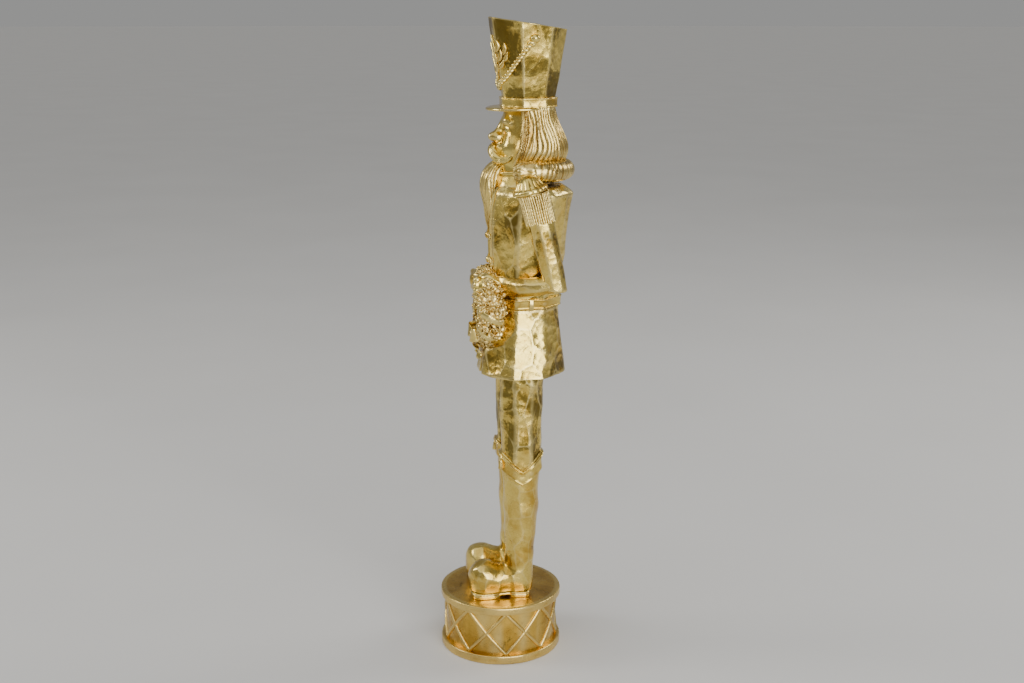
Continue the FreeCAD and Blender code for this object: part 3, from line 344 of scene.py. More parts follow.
@dataclass
class Form:
    """A column of smoothly changing sections, which other pieces can be laid on.

    Attributes:
        heights: Rising heights of the stations.
        fronts: Y of the front at each station.
        backs: Y of the back at each station.
        widths: Width at each station.
        lines: X of the middle at each station, or one for all.
        facets: Its flat sides.
    """

    heights: Sequence[float]
    fronts: Sequence[float]
    backs: Sequence[float]
    widths: Sequence[float]
    lines: Sequence[float] | float = 0.0
    facets: Facets = field(default_factory=Facets)

    def points(self, angle: Array, height: Array, grow: Array | float = 0.0) -> Array:
        """Points on the column.

        Args:
            angle: Direction from the middle line, 0 towards +X and a quarter turn towards +Y.
            height: Height of each point, of the same size as angle.
            grow: How far outside the surface.

        Returns:
            The points, with X, Y, Z as the last axis.
        """
        angle, height = np.broadcast_arrays(np.asarray(angle, float), np.asarray(height, float))
        flat = height.ravel()
        lines = self.lines if isinstance(self.lines, Sequence) else [self.lines] * len(self.heights)
        table = np.stack([self.fronts, self.backs, self.widths, lines], axis=1)
        front, back, width, line = (np.interp(flat, self.heights, column) for column in table.T)
        radius = self.facets.radius(angle.ravel())
        extra = np.broadcast_to(grow, angle.shape).ravel()
        across = line + (width / 2 + extra) * radius * np.cos(angle.ravel())
        along = (front + back) / 2 + ((back - front) / 2 + extra) * radius * np.sin(angle.ravel())
        return np.stack([across, along, flat], axis=1).reshape(*angle.shape, 3)

    def rows(self, low: float, high: float, step: float, around: int, grow: float = 0.0) -> Array:
        """Level rows of points between two heights.

        Args:
            low: Height of the first row.
            high: Height of the last row.
            step: About the distance between rows.
            around: Points in a row.
            grow: Distance outside the form.

        Returns:
            Points by row and place round the form.
        """
        heights = np.linspace(low, high, max(2, int(round((high - low) / step)) + 1))
        angles = np.linspace(0, FULL, around, endpoint=False)
        return self.points(angles[None, :], heights[:, None] + 0 * angles[None, :], grow)


def band(form: Form, section: Array, low: Callable[[Array], Array], high: Callable[[Array], Array],
         around: int) -> Shape:
    """A closed band that lies round a form.

    Args:
        form: What it lies on.
        section: Closed loop of (distance outside the form, share of the band's height).
        low: Height of the lower edge by direction.
        high: Height of the upper edge by direction.
        around: Points round the form.

    Returns:
        The band.
    """
    angles = np.linspace(0, FULL, around, endpoint=False)
    bottom, top = low(angles), high(angles)
    rows = [
        form.points(angles, bottom + (top - bottom) * share, out) for out, share in section
    ]
    return skin(np.array(rows), closed=True)


def closed_loop(knots: Sequence[tuple[float, float]], count: int) -> Array:
    """Smooth closed loop through a few points.

    Args:
        knots: Points of the loop, in order.
        count: Number of points wanted.

    Returns:
        The loop's points, one row each.
    """
    table = np.array(list(knots), float)
    wrapped = np.concatenate([table[-2:], table, table[:2]])
    places = np.arange(-2, len(table) + 2)
    return flow(np.linspace(0, len(table), count, endpoint=False), places, wrapped)


def tube(path: Array, widths: Array, depths: Array, side: Point, around: int,
         facets: Facets = ROUND) -> Array:
    """Rows of a tube along a path.

    Args:
        path: Points of the middle line.
        widths: Half width along the side direction at each point.
        depths: Half depth across it.
        side: Which way the width lies.
        around: Points in a row.
        facets: Flat sides of the section.

    Returns:
        Rows for skin().
    """
    path = np.asarray(path, float)
    ahead = np.gradient(path, axis=0)
    ahead /= np.linalg.norm(ahead, axis=1, keepdims=True)
    across = np.asarray(side, float) - (ahead @ np.asarray(side, float))[:, None] * ahead
    across /= np.linalg.norm(across, axis=1, keepdims=True)
    depth_way = np.cross(ahead, across)
    angle = np.linspace(0, FULL, around, endpoint=False)
    radius = facets.radius(angle)
    part = (np.asarray(widths)[:, None] * radius * np.cos(angle))[:, :, None] * across[:, None, :]
    rest = (np.asarray(depths)[:, None] * radius * np.sin(angle))[:, :, None] * depth_way[:, None, :]
    return path[:, None, :] + part + rest


def sampled(path: Sequence[Point], count: int) -> Array:
    """Evenly spaced points on a smooth line through a few.

    Args:
        path: Points of the line, in order.
        count: Number of points wanted.

    Returns:
        The line's points, one row each.
    """
    knots = np.asarray(path, float)
    lengths = np.concatenate([[0], np.cumsum(np.linalg.norm(np.diff(knots, axis=0), axis=1))])
    return flow(np.linspace(0, lengths[-1], count), lengths, knots)


class Clay:
    """A lump built from balls and limbs on a fine grid of signed distances."""

    def __init__(self, low: Point, high: Point, grain: float = 0.8) -> None:
        """Starts an empty block.

        Args:
            low: Lowest corner of what will be modelled.
            high: Highest corner.
            grain: Size of the grid's cells.
        """
        self.grain = grain
        self.corner = np.asarray(low, float) - 4 * grain
        counts = np.ceil((np.asarray(high, float) - self.corner) / grain).astype(int) + 5
        self.x, self.y, self.z = (
            (self.corner[axis] + grain * np.arange(counts[axis])).reshape(
                [-1 if place == axis else 1 for place in range(3)]
            )
            for axis in range(3)
        )
        self.body = np.full(counts, 60.0)

    def ball(self, centre: Point, radii: Point | float) -> Array:
        """Distances to an ellipsoid.

        Args:
            centre: Its middle.
            radii: Its radius, or one for each axis.

        Returns:
            Distance of each place, below 0 inside.
        """
        size = np.broadcast_to(np.asarray(radii, float), 3)
        gaps = [(axis - middle) for axis, middle in zip((self.x, self.y, self.z), centre)]
        reach = np.sqrt(sum((gap / one) ** 2 for gap, one in zip(gaps, size)))
        slope = np.sqrt(sum((gap / one**2) ** 2 for gap, one in zip(gaps, size)))
        return reach * (reach - 1.0) / np.maximum(slope, 1e-6)

    def limb(self, start: Point, end: Point, first: float, last: float) -> Array:
        """Distances to a round limb whose radius changes from first to last.

        Args:
            start: Middle of one end.
            end: Middle of the other end.
            first: Radius at the start.
            last: Radius at the end.

        Returns:
            Distance of each place, below 0 inside.
        """
        way = np.asarray(end, float) - np.asarray(start, float)
        gaps = [axis - origin for axis, origin in zip((self.x, self.y, self.z), start)]
        share = np.clip(sum(gap * one for gap, one in zip(gaps, way)) / (way @ way), 0, 1)
        squares = sum((gap - share * one) ** 2 for gap, one in zip(gaps, way))
        return np.sqrt(squares) - (first + (last - first) * share)

    def add(self, other: Array, blend: float = 2.0) -> None:
        """Presses another lump on, with a soft seam."""
        mix = np.clip(0.5 + 0.5 * (self.body - other) / blend, 0, 1)
        self.body = self.body * (1 - mix) + other * mix - blend * mix * (1 - mix)

    def take(self, other: Array, blend: float = 1.0) -> None:
        """Scoops a lump out, with a soft edge."""
        mix = np.clip(0.5 - 0.5 * (self.body + other) / blend, 0, 1)
        self.body = self.body * (1 - mix) - other * mix + blend * mix * (1 - mix)

    def shape(self) -> Shape:
        """The lump's skin."""
        grid = openvdb.FloatGrid(3.0 * self.grain)
        grid.copyFromArray(np.clip(self.body, -3 * self.grain, 3 * self.grain).astype(np.float32))
        points, faces = grid.convertToQuads(0.0)
        made = Shape(points.astype(float) * self.grain + self.corner, faces.astype(np.int64))
        return made.outward().softened(2)


# ---------------------------------------------------------------- finishes
class Paint:
    """Short ways to add and join shader nodes of one material."""

    def __init__(self, name: str) -> None:
        """Starts a material with only its output and surface shader."""
        self.material = bpy.data.materials.new(name)
        self.material.use_nodes = True
        self.nodes = self.material.node_tree.nodes
        self.links = self.material.node_tree.links
        self.nodes.clear()
        self.surface = self.nodes.new("ShaderNodeBsdfPrincipled")
        output = self.nodes.new("ShaderNodeOutputMaterial")
        self.links.new(self.surface.outputs["BSDF"], output.inputs["Surface"])
        self.place = self.nodes.new("ShaderNodeTexCoord").outputs["Object"]

    def feed(self, socket: bpy.types.NodeSocket, value: object) -> None:
        """Links a socket, or sets its number."""
        if isinstance(value, bpy.types.NodeSocket):
            self.links.new(value, socket)
        else:
            socket.default_value = value

    def noise(self, scale: float, detail: float = 4.0, rough: float = 0.6,
              warp: float = 0.0) -> bpy.types.NodeSocket:
        """Cloudy field; scale is crests for each metre.

        Args:
            scale: Crests for each metre.
            detail: Number of finer layers.
            rough: Share of each finer layer.
            warp: How far the field is twisted.

        Returns:
            The field's value.
        """
        node = self.nodes.new("ShaderNodeTexNoise")
        self.links.new(self.place, node.inputs["Vector"])
        node.inputs["Scale"].default_value = scale
        node.inputs["Detail"].default_value = detail
        node.inputs["Roughness"].default_value = rough
        node.inputs["Distortion"].default_value = warp
        return node.outputs["Fac"]

    def cells(self, scale: float, feature: str = "F1",
              place: bpy.types.NodeSocket | None = None) -> bpy.types.NodeSocket:
        """Distances within random cells.

        Args:
            scale: Cells for each metre.
            feature: Which distance is measured.
            place: Coordinates to use in place of the object's own.

        Returns:
            The distance.
        """
        node = self.nodes.new("ShaderNodeTexVoronoi")
        node.feature = feature
        self.links.new(place or self.place, node.inputs["Vector"])
        node.inputs["Scale"].default_value = scale
        return node.outputs["Distance"]

    def warped(self, scale: float, amount: float) -> bpy.types.NodeSocket:
        """Object coordinates shaken by noise."""
        shake = self.nodes.new("ShaderNodeTexNoise")
        self.links.new(self.place, shake.inputs["Vector"])
        shake.inputs["Scale"].default_value = scale
        sized = self.nodes.new("ShaderNodeVectorMath")
        sized.operation = "SCALE"
        self.links.new(shake.outputs["Color"], sized.inputs[0])
        sized.inputs["Scale"].default_value = amount
        total = self.nodes.new("ShaderNodeVectorMath")
        self.links.new(self.place, total.inputs[0])
        self.links.new(sized.outputs[0], total.inputs[1])
        return total.outputs[0]

    def attribute(self, name: str) -> bpy.types.NodeSocket:
        """A number stored on the mesh."""
        node = self.nodes.new("ShaderNodeAttribute")
        node.attribute_name = name
        return node.outputs["Fac"]

    def range(self, value: object, low: float, high: float, bottom: float = 0.0,
              top: float = 1.0) -> bpy.types.NodeSocket:
        """Stretches one range of numbers to another, with a soft start and end.

        Args:
            value: What is stretched.
            low: Where the first range starts.
            high: Where the first range ends.
            bottom: Result at low.
            top: Result at high.

        Returns:
            The stretched value.
        """
        node = self.nodes.new("ShaderNodeMapRange")
        node.interpolation_type = "SMOOTHSTEP"
        for socket, number in zip(node.inputs[:5], (value, low, high, bottom, top)):
            self.feed(socket, number)
        return node.outputs["Result"]

    def sum(self, kind: str, first: object, second: object) -> bpy.types.NodeSocket:
        """One arithmetic step."""
        node = self.nodes.new("ShaderNodeMath")
        node.operation = kind
        self.feed(node.inputs[0], first)
        self.feed(node.inputs[1], second)
        return node.outputs[0]

    def blend(self, share: object, first: object, second: object) -> bpy.types.NodeSocket:
        """Mix of two colours.

        Args:
            share: Share of the second colour.
            first: First colour.
            second: Second colour.

        Returns:
            The mixed colour.
        """
        node = self.nodes.new("ShaderNodeMix")
        node.data_type = "RGBA"
        self.feed(node.inputs["Factor"], share)
        for name, value in (("A", first), ("B", second)):
            socket = next(s for s in node.inputs if s.name == name and s.type == "RGBA")
            self.feed(socket, value)
        return next(s for s in node.outputs if s.type == "RGBA")

    def bump(self, height: object, distance: float, strength: float,
             under: bpy.types.NodeSocket | None = None) -> bpy.types.NodeSocket:
        """Surface relief of a given depth in millimetres.

        Args:
            height: Height, from 0 to 1.
            distance: Depth in millimetres.
            strength: Share of the relief that shows.
            under: Relief that this one lies on.

        Returns:
            The surface direction.
        """
        node = self.nodes.new("ShaderNodeBump")
        node.inputs["Strength"].default_value = strength
        node.inputs["Distance"].default_value = distance * MM
        self.feed(node.inputs["Height"], height)
        if under is not None:
            self.links.new(under, node.inputs["Normal"])
        return node.outputs["Normal"]


@dataclass(frozen=True)
class GoldLeaf:
    """Bright leaf laid on cast resin, with stains, fine cracks, painted shade in its hollows and a
    painted highlight on its edges.

    Attributes:
        name: The material's name.
        pale: Colour of the bright leaf.
        deep: Colour where the leaf lies thick, and the painted shade that darkens its hollows.
        stain: Colour of tarnished patches and fine cracks, and of the painted shade in the deepest
            hollows.
        stained: Share of the surface that is tarnished.
        rough: Roughness of the bright leaf.
        mark: Size of the small tool marks.
        relief: Depth of the tool marks.
    """

    name: str
    pale: tuple[float, float, float, float] = (0.80, 0.60, 0.15, 1.0)
    deep: tuple[float, float, float, float] = (0.52, 0.31, 0.04, 1.0)
    stain: tuple[float, float, float, float] = (0.07, 0.052, 0.01, 1.0)
    stained: float = 0.36
    rough: float = 0.17
    mark: float = 7.0
    relief: float = 0.35

    def material(self) -> bpy.types.Material:
        """The finish as shader nodes."""
        paint = Paint(self.name)
        hollow = paint.attribute("recess")
        cloud = paint.noise(30.0, 5.0, 0.62, 0.3)
        base = paint.blend(paint.range(cloud, 0.38, 0.68), self.pale, self.deep)
        # Painted shade: recesses are darkened towards the deep colour.
        shade_and_dull = paint.range(hollow, 0.54, 0.86)
        base = paint.blend(paint.sum("MULTIPLY", shade_and_dull, 0.85), base, self.deep)
        patch = paint.noise(30.0, 6.0, 0.64, 0.8)
        specks = paint.noise(520.0, 3.0, 0.75)
        broken = paint.sum("ADD", patch, paint.sum("MULTIPLY", specks, 0.22))
        low = 0.84 - 0.3 * self.stained
        tarnish_and_shade = paint.range(broken, low, low + 0.1)
        # Painted shade: the deepest recesses take the near-black colour of the tarnished patches.
        hidden = paint.range(hollow, 0.80, 1.0, 0.0, 0.8)
        tarnish_and_shade = paint.sum("MAXIMUM", tarnish_and_shade, hidden)
        base = paint.blend(paint.sum("MULTIPLY", tarnish_and_shade, 0.8), base, self.stain)
        crack = paint.cells(190.0, "DISTANCE_TO_EDGE", paint.warped(90.0, 0.006))
        line = paint.range(crack, 0.0, 0.03, 1.0, 0.0)
        base = paint.blend(paint.sum("MULTIPLY", line, 0.3), base, self.stain)
        # Painted highlight: raised edges are lightened towards pale gold.
        edge = paint.range(hollow, 0.22, 0.45, 1.0, 0.0)
        base = paint.blend(paint.sum("MULTIPLY", edge, 0.4), base, (0.92, 0.76, 0.32, 1.0))
        paint.links.new(base, paint.surface.inputs["Base Color"])
        paint.surface.inputs["Metallic"].default_value = 1.0
        rough = paint.range(paint.noise(70.0, 6.0, 0.7), 0.3, 0.75, self.rough, self.rough + 0.14)
        rough = paint.sum("ADD", rough, paint.sum("MULTIPLY", tarnish_and_shade, 0.16))
        rough = paint.sum("ADD", rough, paint.sum("MULTIPLY", shade_and_dull, 0.1))
        paint.links.new(rough, paint.surface.inputs["Roughness"])
        marks = paint.cells(1000.0 / self.mark, "F1", paint.warped(70.0, 0.004))
        relief = paint.bump(marks, self.relief * 2.2, 0.5)
        grain = paint.noise(700.0, 5.0, 0.7)
        relief = paint.bump(grain, 0.09, 0.6, relief)
        relief = paint.bump(line, 0.06, 0.35, relief)
        paint.links.new(relief, paint.surface.inputs["Normal"])
        return paint.material


@dataclass(frozen=True)
class PlainStuff:
    """An unleafed stuff that hardly shows: bare resin, drawn steel or felt.

    Attributes:
        name: The material's name.
        light: Its lighter colour.
        dark: Its darker colour.
        metal: How metallic it is.
        rough: Its roughness.
        grain: Crests of its grain for each metre.
    """

    name: str
    light: tuple[float, float, float, float]
    dark: tuple[float, float, float, float]
    metal: float
    rough: float
    grain: float

    def material(self) -> bpy.types.Material:
        """The finish as shader nodes."""
        paint = Paint(self.name)
        cloud = paint.noise(self.grain, 6.0, 0.7)
        base = paint.blend(paint.range(cloud, 0.3, 0.7), self.light, self.dark)
        paint.links.new(base, paint.surface.inputs["Base Color"])
        paint.surface.inputs["Metallic"].default_value = self.metal
        paint.links.new(paint.range(cloud, 0.2, 0.8, self.rough, self.rough + 0.15),
                        paint.surface.inputs["Roughness"])
        paint.links.new(paint.bump(paint.noise(self.grain * 3, 5.0, 0.7), 0.15, 0.6),
                        paint.surface.inputs["Normal"])
        return paint.material


GOLD = GoldLeaf("gold_leaf_smooth", relief=0.3)
CARVED = GoldLeaf("gold_leaf_carved", stained=0.78, mark=6.0, relief=0.45)
TARNISHED = GoldLeaf("gold_leaf_tarnished", stained=1.0, mark=6.0, relief=0.45)
DRUM_GOLD = GoldLeaf("gold_leaf_drum", pale=(0.68, 0.43, 0.08, 1.0), deep=(0.44, 0.25, 0.035, 1.0),
                     stained=0.28, rough=0.24, mark=9.0, relief=0.12)
STRANDED = GoldLeaf("gold_leaf_strands", pale=(0.83, 0.62, 0.19, 1.0), deep=(0.34, 0.20, 0.04, 1.0),
                    stained=0.15, rough=0.22, mark=4.0, relief=0.12)
FOLIAGE = GoldLeaf("gold_leaf_foliage", pale=(0.88, 0.66, 0.24, 1.0), deep=(0.34, 0.18, 0.03, 1.0),
                   stained=0.3, rough=0.2, mark=3.0, relief=0.1)
POLISHED = GoldLeaf("gold_leaf_polished", pale=(0.83, 0.64, 0.17, 1.0), stained=0.12, rough=0.12,
                    mark=10.0, relief=0.1)
BARE_RESIN = PlainStuff("bare_resin", (0.80, 0.77, 0.70, 1), (0.66, 0.63, 0.56, 1), 0.0, 0.6, 300.0)
STEEL = PlainStuff("drawn_steel", (0.62, 0.62, 0.63, 1), (0.42, 0.42, 0.44, 1), 1.0, 0.3, 500.0)
FELT = PlainStuff("black_felt", (0.05, 0.05, 0.05, 1), (0.02, 0.02, 0.02, 1), 0.0, 0.92, 900.0)


# ---------------------------------------------------------------- repeating pieces
class Tree:
    """A geometry node tree with named inputs, used once or more and then taken as plain mesh."""

    def __init__(self, name: str, inputs: dict[str, tuple[str, object]]) -> None:
        """Makes an empty tree.

        Args:
            name: The tree's name.
            inputs: Socket type and default of each named input.
        """
        self.group = bpy.data.node_groups.new(name, "GeometryNodeTree")
        face = self.group.interface
        face.new_socket("Geometry", in_out="INPUT", socket_type="NodeSocketGeometry")
        self.keys: dict[str, str] = {}
        for label, (kind, default) in {**inputs, "Finish": ("Material", None)}.items():
            socket = face.new_socket(label, in_out="INPUT", socket_type=f"NodeSocket{kind}")
            if default is not None:
                socket.default_value = default
            self.keys[label] = socket.identifier
        face.new_socket("Geometry", in_out="OUTPUT", socket_type="NodeSocketGeometry")
        self.source = self.group.nodes.new("NodeGroupInput").outputs
        self.sink = self.group.nodes.new("NodeGroupOutput").inputs

    def node(self, kind: str, feeds: dict | None = None, **settings: object) -> bpy.types.Node:
        """Adds a node, sets its properties and feeds its inputs by name or number."""
        made = self.group.nodes.new(kind)
        for label, value in settings.items():
            setattr(made, label, value)
        for label, value in (feeds or {}).items():
            if isinstance(value, bpy.types.NodeSocket):
                self.group.links.new(value, made.inputs[label])
            else:
                made.inputs[label].default_value = value
        return made

    def maths(self, kind: str, *values: object) -> bpy.types.NodeSocket:
        """One step of arithmetic."""
        return self.node("ShaderNodeMath", dict(enumerate(values)), operation=kind).outputs[0]

    def vectors(self, kind: str, *values: object) -> bpy.types.NodeSocket:
        """One step of vector arithmetic."""
        feeds = {(3 if kind == "SCALE" and place else place): value
                 for place, value in enumerate(values)}
        return self.node("ShaderNodeVectorMath", feeds, operation=kind).outputs[0]

    def close(self, geometry: bpy.types.NodeSocket) -> None:
        """Ends the tree: real geometry with its finish on."""
        real = self.node("GeometryNodeRealizeInstances", {0: geometry})
        dressed = self.node("GeometryNodeSetMaterial",
                            {"Geometry": real.outputs[0], "Material": self.source["Finish"]})
        self.group.links.new(dressed.outputs[0], self.sink[0])

    def grow(self, carrier: bpy.types.Mesh, name: str, values: dict[str, object]) -> bpy.types.Object:
        """Runs the tree on a carrier mesh.

        Args:
            carrier: What the tree starts from.
            name: The new object's name.
            values: Values of the named inputs.

        Returns:
            An object with the result as plain mesh.
        """
        holder = bpy.data.objects.new(f"{name}_carrier", carrier)
        bpy.context.scene.collection.objects.link(holder)
        modifier = holder.modifiers.new("grow", "NODES")
        modifier.node_group = self.group
        for label, value in values.items():
            modifier[self.keys[label]] = value
        graph = bpy.context.evaluated_depsgraph_get()
        graph.update()
        mesh = bpy.data.meshes.new_from_object(holder.evaluated_get(graph))
        bpy.data.objects.remove(holder)
        mesh.name = name
        made = bpy.data.objects.new(name, mesh)
        bpy.context.scene.collection.objects.link(made)
        return made


def line_mesh(lines: Sequence[Array], closed: bool = False) -> bpy.types.Mesh:
    """Wire mesh in metres of several lines of points."""
    mesh = bpy.data.meshes.new("lines")
    points, edges = [], []
    for line in lines:
        start = len(points)
        points.extend((np.asarray(line) * MM).tolist())
        edges.extend([start + i, start + i + 1] for i in range(len(line) - 1))
        if closed:
            edges.append([start + len(line) - 1, start])
    mesh.from_pydata(points, edges, [])
    return mesh


def cord_tree(strands: int) -> Tree:
    """Tree that lays a twisted cord of a number of strands along every line of its carrier."""
    tree = Tree(f"cord_of_{strands}", {
        "Strand Radius": ("Float", 0.8 * MM), "Lay Radius": ("Float", 0.8 * MM),
        "Turn Length": ("Float", 5 * MM), "Step": ("Float", 0.5 * MM)})
    curve = tree.node("GeometryNodeMeshToCurve", {"Mesh": tree.source["Geometry"]}).outputs[0]
    curve = tree.node("GeometryNodeResampleCurve", {"Curve": curve, "Length": tree.source["Step"]},
                      mode="LENGTH").outputs[0]
    along = tree.node("GeometryNodeSplineParameter").outputs["Length"]
    normal = tree.node("GeometryNodeInputNormal").outputs[0]
    ahead = tree.node("GeometryNodeInputTangent").outputs[0]
    across = tree.vectors("CROSS_PRODUCT", ahead, normal)
    profile = tree.node("GeometryNodeCurvePrimitiveCircle",
                        {"Resolution": 8, "Radius": tree.source["Strand Radius"]}).outputs[0]
    turns = tree.maths("MULTIPLY", tree.maths("DIVIDE", along, tree.source["Turn Length"]), FULL)
    join = tree.node("GeometryNodeJoinGeometry")
    for number in range(strands):
        angle = tree.maths("ADD", turns, FULL * number / strands)
        shift = tree.vectors(
            "ADD", tree.vectors("SCALE", normal, tree.maths("COSINE", angle)),
            tree.vectors("SCALE", across, tree.maths("SINE", angle)))
        shift = tree.vectors("SCALE", shift, tree.source["Lay Radius"])
        moved = tree.node("GeometryNodeSetPosition", {"Geometry": curve, "Offset": shift})
        swept = tree.node("GeometryNodeCurveToMesh", {
            "Curve": moved.outputs[0], "Profile Curve": profile, "Fill Caps": True})
        tree.group.links.new(swept.outputs[0], join.inputs[0])
    smooth = tree.node("GeometryNodeSetShadeSmooth", {"Geometry": join.outputs[0]})
    tree.close(smooth.outputs[0])
    return tree


def foliage_tree() -> Tree:
    """Tree that covers its carrier in small leaves that lie over each other."""
    tree = Tree("foliage", {
        "Leaf": ("Object", None), "Gap": ("Float", 2 * MM), "Density": ("Float", 400000.0),
        "Size": ("Float", 1.0), "Seed": ("Int", 7)})
    spots = tree.node("GeometryNodeDistributePointsOnFaces", {
        "Mesh": tree.source["Geometry"], "Distance Min": tree.source["Gap"],
        "Density Max": tree.source["Density"], "Seed": tree.source["Seed"]},
        distribute_method="POISSON")
    leaf = tree.node("GeometryNodeObjectInfo", {"Object": tree.source["Leaf"]})
    spin = tree.node("FunctionNodeRandomValue", {"Seed": 3}, data_type="FLOAT_VECTOR")
    spin.inputs[0].default_value = (0.1, -0.5, 0.0)
    spin.inputs[1].default_value = (0.9, 0.5, FULL)
    turned = tree.node("FunctionNodeRotateRotation", {
        "Rotation": spots.outputs["Rotation"], "Rotate By": spin.outputs[0]},
        rotation_space="LOCAL")
    scale = tree.node("FunctionNodeRandomValue", {"Seed": 5}, data_type="FLOAT")
    low, high = (s for s in scale.inputs if s.type == "VALUE" and s.enabled)
    low.default_value, high.default_value = 0.75, 1.3
    size = tree.maths("MULTIPLY", next(s for s in scale.outputs if s.enabled), tree.source["Size"])
    placed = tree.node("GeometryNodeInstanceOnPoints", {
        "Points": spots.outputs["Points"], "Instance": leaf.outputs["Geometry"],
        "Rotation": turned.outputs[0], "Scale": size})
    join = tree.node("GeometryNodeJoinGeometry")
    tree.group.links.new(tree.source["Geometry"], join.inputs[0])
    tree.group.links.new(placed.outputs[0], join.inputs[0])
    smooth = tree.node("GeometryNodeSetShadeSmooth", {"Geometry": join.outputs[0]})
    tree.close(smooth.outputs[0])
    return tree


# ---------------------------------------------------------------- workshop
@dataclass(frozen=True)
class Box:
    """A node's box in millimetres."""

    low: Array
    high: Array

    @classmethod
    def of(cls, node: str) -> "Box":
        """Box of a node of the frame."""
        low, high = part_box(node)
        return cls(np.array(low) / MM, np.array(high) / MM)

    @property
    def middle(self) -> Array:
        """The box's centre."""
        return (self.low + self.high) / 2

    @property
    def size(self) -> Array:
        """The box's three lengths."""
        return self.high - self.low


class Workshop:
    """Makes objects of shapes, dresses them and puts them on the frame."""

    def __init__(self) -> None:
        """Starts with no finishes and no trees."""
        self.finishes: dict[str, bpy.types.Material] = {}
        self.cords = {count: cord_tree(count) for count in (1, 2, 3)}
        self.foliage = foliage_tree()
        self.triangles = 0

    def finish(self, finish: GoldLeaf | PlainStuff) -> bpy.types.Material:
        """The material of a finish, made once."""
        if finish.name not in self.finishes:
            self.finishes[finish.name] = finish.material()
        return self.finishes[finish.name]

    def mesh(self, name: str, shape: Shape, crease: float = 55.0) -> bpy.types.Mesh:
        """A mesh in metres with smooth shading, creases and the recess attribute.

        Args:
            name: The mesh's name.
            shape: Points and faces in millimetres.
            crease: Angle in degrees past which an edge is sharp.

        Returns:
            The mesh.
        """
        mesh = bpy.data.meshes.new(name)
        faces = [row[:3] if row[2] == row[3] else row for row in shape.faces.tolist()]
        mesh.from_pydata((shape.points * MM).tolist(), [], faces)
        mesh.shade_smooth()
        mesh.set_sharp_from_angle(angle=math.radians(crease))
        # Recess depth, which the gold finishes turn into painted shade in hollows and a painted highlight
        # on edges.
        layer = mesh.attributes.new("recess", "FLOAT", "POINT")
        layer.data.foreach_set("value", shape.recesses().astype(np.float32))
        return mesh

    def piece(self, name: str, shape: Shape, finish: GoldLeaf, nodes: Sequence[str],
              slot: Slot = Slot.GOLD) -> bpy.types.Object:
        """Makes a piece of a shape.

        Args:
            name: The piece's name.
            shape: Its skin.
            finish: What it is finished in.
            nodes: Frame nodes that it stands for.
            slot: Kind of material, passed on to mount.

        Returns:
            The new object.
        """
        return self.mount(self.loose(name, shape, finish), nodes, slot)

    def mount(self, made: bpy.types.Object, nodes: Sequence[str], slot: Slot) -> bpy.types.Object:
        """Puts an object on the frame's body and reports it.

        Args:
            made: The finished object.
            nodes: Nodes of the frame that it replaces.
            slot: Kind of material; not used.

        Returns:
            The same object.
        """
        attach(made, "root")
        if nodes:
            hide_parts(*nodes)
        made.data.calc_loop_triangles()
        count = len(made.data.loop_triangles)
        self.triangles += count
        LOG.info("%s: %d triangles", made.name, count)
        return made

    def cord(self, name: str, lines: Sequence[Array], strands: int, strand: float, lay: float,
             turn_length: float, finish: GoldLeaf, closed: bool = False) -> bpy.types.Object:
        """A twisted cord along lines of points, in millimetres."""
        return self.cords[strands].grow(line_mesh(lines, closed), name, {
            "Strand Radius": strand * MM, "Lay Radius": lay * MM, "Turn Length": turn_length * MM,
            "Step": min(0.6, strand) * MM, "Finish": self.finish(finish)})

    def merge(self, name: str, parts: Sequence[bpy.types.Object]) -> bpy.types.Object:
        """Joins objects into one with the first one's place."""
        with bpy.context.temp_override(active_object=parts[0], object=parts[0],
                                       selected_editable_objects=list(parts)):
            bpy.ops.object.join()
        parts[0].name = name
        parts[0].data.name = name
        return parts[0]

    def loose(self, name: str, shape: Shape, finish: GoldLeaf) -> bpy.types.Object:
        """An object that will be merged into a piece."""
        made = bpy.data.objects.new(name, self.mesh(name, shape))
        bpy.context.scene.collection.objects.link(made)
        made.data.materials.append(self.finish(finish))
        return made


